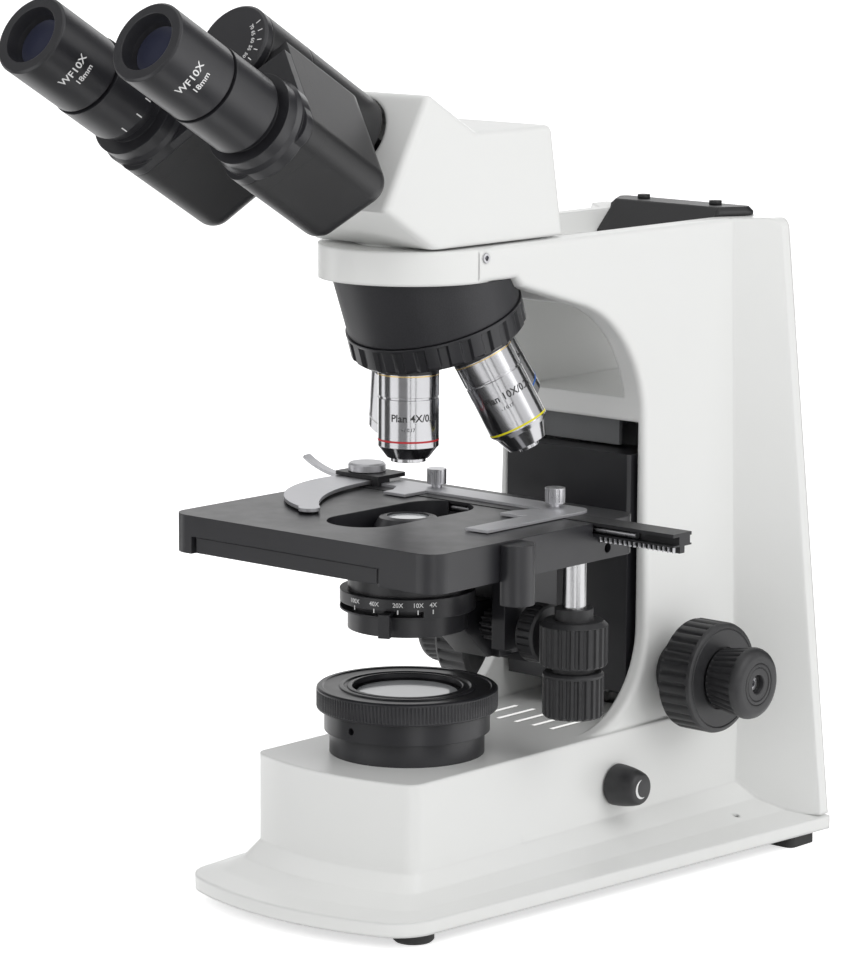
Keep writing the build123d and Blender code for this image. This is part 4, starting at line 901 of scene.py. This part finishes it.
class MICROSCOPE_OT_side_knobs(bpy.types.Operator):
    """Shape the ribbed coarse and fine knobs and the rounded lamp dimmer"""
    bl_idname = "microscope.side_knobs"
    bl_label = "Side knobs"

    def execute(self, context):
        for side, turn in (("right", 1), ("left", -1)):
            node = f"coarse_knob_{side}"
            low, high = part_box(node)
            outer = high.x if turn > 0 else low.x
            place = frame_at((outer, (low.y + high.y) / 2, (low.z + high.z) / 2), (turn, 0, 0), (0, 0, 1))
            radius = (high.z - low.z) / 2
            length = high.x - low.x
            profile = [
                (6 * MM, -length, 0),
                (12.5 * MM, -length, 0),
                (12.5 * MM, -17 * MM, 0),
                (radius - 1.6 * MM, -17 * MM, 0),
                (radius - 0.3 * MM, -16.4 * MM, 0),
                (radius, -15.6 * MM, 1),
                (radius, -2.6 * MM, 1),
                (radius, -1.9 * MM, 0),
                (radius - 0.5 * MM, -0.6 * MM, 0),
                (radius - 1.6 * MM, 0, 0),
                (radius - 2.4 * MM, 0, 0),
                (radius - 2.7 * MM, -0.4 * MM, 0),
                (radius - 3.1 * MM, -0.1 * MM, 0),
                (13.5 * MM, -0.1 * MM, 0),
                (13.5 * MM, -1.5 * MM, 0),
                (6 * MM, -1.5 * MM, 0),
            ]
            cuts = tuple(share * 1.1 * MM for share in (0, 0, 0, 0.3, 1, 1, 0.3, 0)) * 30
            knob = piece(f"ribbed_knob_{side}", lambda bm: ribbed(bm, profile, place, cuts), look_of(node), "coarse")
            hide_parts(node)
        for side, turn in (("right", 1), ("left", -1)):
            node = f"fine_knob_{side}"
            low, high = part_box(node)
            outer = high.x if turn > 0 else low.x
            place = frame_at((outer, (low.y + high.y) / 2, (low.z + high.z) / 2), (turn, 0, 0), (0, 0, 1))
            radius = (high.z - low.z) / 2
            length = high.x - low.x
            profile = [
                (3.4 * MM, -length, 0),
                (radius * 0.83, -length, 0),
                (radius * 0.84, -length + 0.8 * MM, 1),
                (radius - 0.1 * MM, -5.2 * MM, 1),
                (radius, -4.4 * MM, 0),
                (radius - 0.1 * MM, -3.4 * MM, 0),
                (radius - 0.6 * MM, -1.9 * MM, 0),
                (radius - 1.5 * MM, -0.8 * MM, 0),
                (radius - 2.9 * MM, -0.1 * MM, 0),
                (radius - 3.8 * MM, 0, 0),
                (9.3 * MM, 0, 0),
                (9.0 * MM, -0.5 * MM, 0),
                (8.7 * MM, -0.1 * MM, 0),
                (7.5 * MM, 0, 0),
                (7.2 * MM, -0.5 * MM, 0),
                (6.9 * MM, -0.2 * MM, 0),
                (4.4 * MM, -0.2 * MM, 0),
                (4 * MM, -0.6 * MM, 0),
                (4 * MM, -3 * MM, 0),
                (3.4 * MM, -3 * MM, 0),
            ]
            cuts = tuple(share * 0.8 * MM for share in (0, 0, 0.5, 1, 0.5, 0)) * 30
            knob = piece(f"ribbed_fine_knob_{side}", lambda bm: ribbed(bm, profile, place, cuts), look_of(node), "fine")
            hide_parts(node)
        low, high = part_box("dimmer_knob")
        radius = (high.z - low.z) / 2
        place = frame_at((high.x, (low.y + high.y) / 2, (low.z + high.z) / 2), (1, 0, 0), (0, 0, 1))
        profile = [
            (0.1 * MM, -(high.x - low.x)),
            (3 * MM, -(high.x - low.x)),
            (3 * MM, -14 * MM),
            (radius - 0.3 * MM, -14 * MM),
            (radius, -13.6 * MM),
            (radius - 0.1 * MM, -10.5 * MM),
            (radius - 0.5 * MM, -7 * MM),
            (radius - 1.2 * MM, -3.5 * MM),
            (radius - 1.9 * MM, -1.3 * MM),
            (radius - 2.5 * MM, -0.4 * MM),
            (radius - 3.3 * MM, 0),
            (0.1 * MM, 0),
        ]
        cap = piece("dimmer_cap", lambda bm: revolved(bm, profile, place), look_of("dimmer_knob"), "dimmer")
        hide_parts("dimmer_knob")
        return {"FINISHED"}


class MICROSCOPE_OT_vent_strips(bpy.types.Operator):
    """Lay the pale strips that show in the lamp's air slots, with a painted glow for the lamp's light"""
    bl_idname = "microscope.vent_strips"
    bl_label = "Vent strips"

    def execute(self, context):
        low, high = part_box("field_ring")
        rear = (high.y - low.y) / 2 + VENT_REAR

        def build(bm):
            for index in range(VENT_COUNT):
                x = AXIS_X + (index - (VENT_COUNT - 1) / 2) * VENT_PITCH
                middle = Vector((x, AXIS_Y + rear, drum_low.z - 0.05 * MM))
                spots = [middle + Vector((VENT_WIDTH / 2 * i, VENT_LENGTH / 2 * j, 0))
                         for i, j in ((-1, -1), (1, -1), (1, 1), (-1, 1))]
                bm.faces.new([bm.verts.new(spot) for spot in spots])

        # The strips' finish glows by emission: painted light standing in for the lamp seen through the slots
        piece("vent_strips", build, painted_glow_slot(), "stand", smooth=False)
        return {"FINISHED"}


class MICROSCOPE_OT_stage(bpy.types.Operator):
    """Add the floor, the lights, the world and the camera"""
    bl_idname = "microscope.stage"
    bl_label = "Floor, light and camera"

    def execute(self, context):
        settings = context.scene.microscope_stage
        add_floor(settings)
        add_world(context.scene)
        add_cards()
        add_lights(settings)
        add_camera(context.scene, settings)
        context.scene.view_settings.view_transform = "Standard"
        return {"FINISHED"}


def add_floor(settings):
    half = settings.floor_size / 2
    mesh = bpy.data.meshes.new("floor")
    corners = [(-half, -half, 0), (half, -half, 0), (half, half, 0), (-half, half, 0)]
    mesh.from_pydata(corners, [], [(0, 1, 2, 3)])
    made = bpy.data.objects.new("floor", mesh)
    bpy.context.scene.collection.objects.link(made)
    g = Finish("floor")
    g.principled(Base_Color=(0.9, 0.9, 0.9, 1.0), Roughness=0.6, Specular_IOR_Level=0.1)
    plain = Value(g, g.shader.outputs[0])
    glow = g.node("ShaderNodeEmission", {}, {"Strength": FLOOR_GLOW})
    lit = g.node("ShaderNodeAddShader", {}, [plain, glow])
    g.set(g.output.inputs["Surface"], g.choose(g.ray("Camera", "Glossy", "Transmission"), plain, lit))
    mesh.materials.append(g.material)


def add_world(scene):
    """White wherever the world is seen or mirrored, and soft light on the object."""
    world = bpy.data.worlds.new("studio")
    scene.world = world
    world.use_nodes = True
    g = Graph(world.node_tree)
    soft, white = (g.node("ShaderNodeBackground", {}, [(1, 1, 1, 1), strength]) for strength in (SOFT_LIGHT, 1.0))
    out = g.tree.nodes.new("ShaderNodeOutputWorld")
    g.set(out.inputs["Surface"], g.choose(g.ray("Camera", "Glossy", "Transmission"), soft, white))


def add_cards():
    """Stand dark cards round the object, which put the dark streaks into its metal."""
    for index, (first, last, tone, *edges) in enumerate(CARDS):
        corners = []
        for reach, height in edges:
            for degrees in (first, last):
                turn = Matrix.Rotation(math.radians(degrees), 3, "Z")
                corners.append(turn @ to_camera() * reach + Vector((AXIS_X, AXIS_Y, height)))
        mesh = bpy.data.meshes.new(f"card_{index}")
        mesh.from_pydata(corners, [], [(0, 1, 3, 2)])
        g = Finish(f"card_{index}")
        mesh.materials.append(g.principled(Base_Color=(tone, tone, tone, 1), Roughness=0.9, Specular_IOR_Level=0.0))
        card = bpy.data.objects.new(f"card_{index}", mesh)
        card.visible_camera = card.visible_diffuse = card.visible_transmission = card.visible_shadow = False
        bpy.context.scene.collection.objects.link(card)


def area_light(name, place, target, size, watts):
    data = bpy.data.lights.new(name, "AREA")
    data.shape = "RECTANGLE"
    data.size, data.size_y = size
    data.energy = watts
    made = bpy.data.objects.new(name, data)
    made.location = place
    made.rotation_mode = "QUATERNION"
    made.rotation_quaternion = (Vector(place) - Vector(target)).to_track_quat("Z", "Y")
    bpy.context.scene.collection.objects.link(made)
    return made


def add_lights(settings):
    middle = (cad_low + cad_high) / 2
    key = settings.key
    area_light("key_right", (1.3, 0.1, 1.15), middle, (1.2, 1.3), key)
    area_light("fill_left", (-1.3, -1.5, 0.65), middle, (1.2, 1.0), key * 0.6)
    area_light("front", (0.9, -1.7, 0.9), middle, (1.2, 1.0), key * 0.35)
    area_light("rear", (-0.35, 1.7, 0.45), middle, (1.4, 0.9), key * 0.5)


def add_camera(scene, settings):
    a, e, roll = settings.azimuth, settings.elevation, settings.roll
    right = Vector((math.cos(a), math.sin(a), 0))
    back = Vector((math.sin(a) * math.cos(e), -math.cos(a) * math.cos(e), math.sin(e)))
    up = back.cross(right)
    data = bpy.data.cameras.new("camera")
    data.lens = settings.lens
    data.sensor_fit = "AUTO"
    data.sensor_width = 36
    data.clip_start = 0.05
    data.clip_end = 50
    made = bpy.data.objects.new("camera", data)
    aim = Vector((AXIS_X, AXIS_Y, settings.aim_height))
    made.location = aim + right * settings.shift_right + up * settings.shift_up + back * settings.distance
    across = right * math.cos(roll) + up * math.sin(roll)
    upward = up * math.cos(roll) - right * math.sin(roll)
    made.rotation_mode = "QUATERNION"
    made.rotation_quaternion = Matrix((across, upward, back)).transposed().to_quaternion()
    scene.collection.objects.link(made)
    scene.camera = made


class MICROSCOPE_PT_panel(bpy.types.Panel):
    """Shows the microscope's settings and the buttons of its operators"""
    bl_idname = "MICROSCOPE_PT_panel"
    bl_label = "Microscope"
    bl_space_type = "VIEW_3D"
    bl_region_type = "UI"
    bl_category = "Microscope"

    def draw(self, context):
        for settings in (context.scene.microscope_look, context.scene.microscope_marks,
                         context.scene.microscope_stage):
            for name in settings.__annotations__:
                self.layout.prop(settings, name)
        for operator in OPERATORS:
            self.layout.operator(operator.bl_idname)


OPERATORS = (
    MICROSCOPE_OT_finishes,
    MICROSCOPE_OT_objective_marks,
    MICROSCOPE_OT_condenser_marks,
    MICROSCOPE_OT_eyepiece_marks,
    MICROSCOPE_OT_eye_distance_scale,
    MICROSCOPE_OT_dimmer_mark,
    MICROSCOPE_OT_knurled_ring,
    MICROSCOPE_OT_side_knobs,
    MICROSCOPE_OT_vent_strips,
    MICROSCOPE_OT_stage,
)
CLASSES = (LookSettings, MarkSettings, StageSettings, *OPERATORS, MICROSCOPE_PT_panel)


def register():
    for item in CLASSES:
        bpy.utils.register_class(item)
    bpy.types.Scene.microscope_look = bpy.props.PointerProperty(type=LookSettings)
    bpy.types.Scene.microscope_marks = bpy.props.PointerProperty(type=MarkSettings)
    bpy.types.Scene.microscope_stage = bpy.props.PointerProperty(type=StageSettings)


def unregister():
    del bpy.types.Scene.microscope_stage
    del bpy.types.Scene.microscope_marks
    del bpy.types.Scene.microscope_look
    for item in reversed(CLASSES):
        bpy.utils.unregister_class(item)


def main():
    register()
    for operator in OPERATORS:
        group, name = operator.bl_idname.split(".")
        getattr(getattr(bpy.ops, group), name)()


if __name__ == "__main__":
    main()
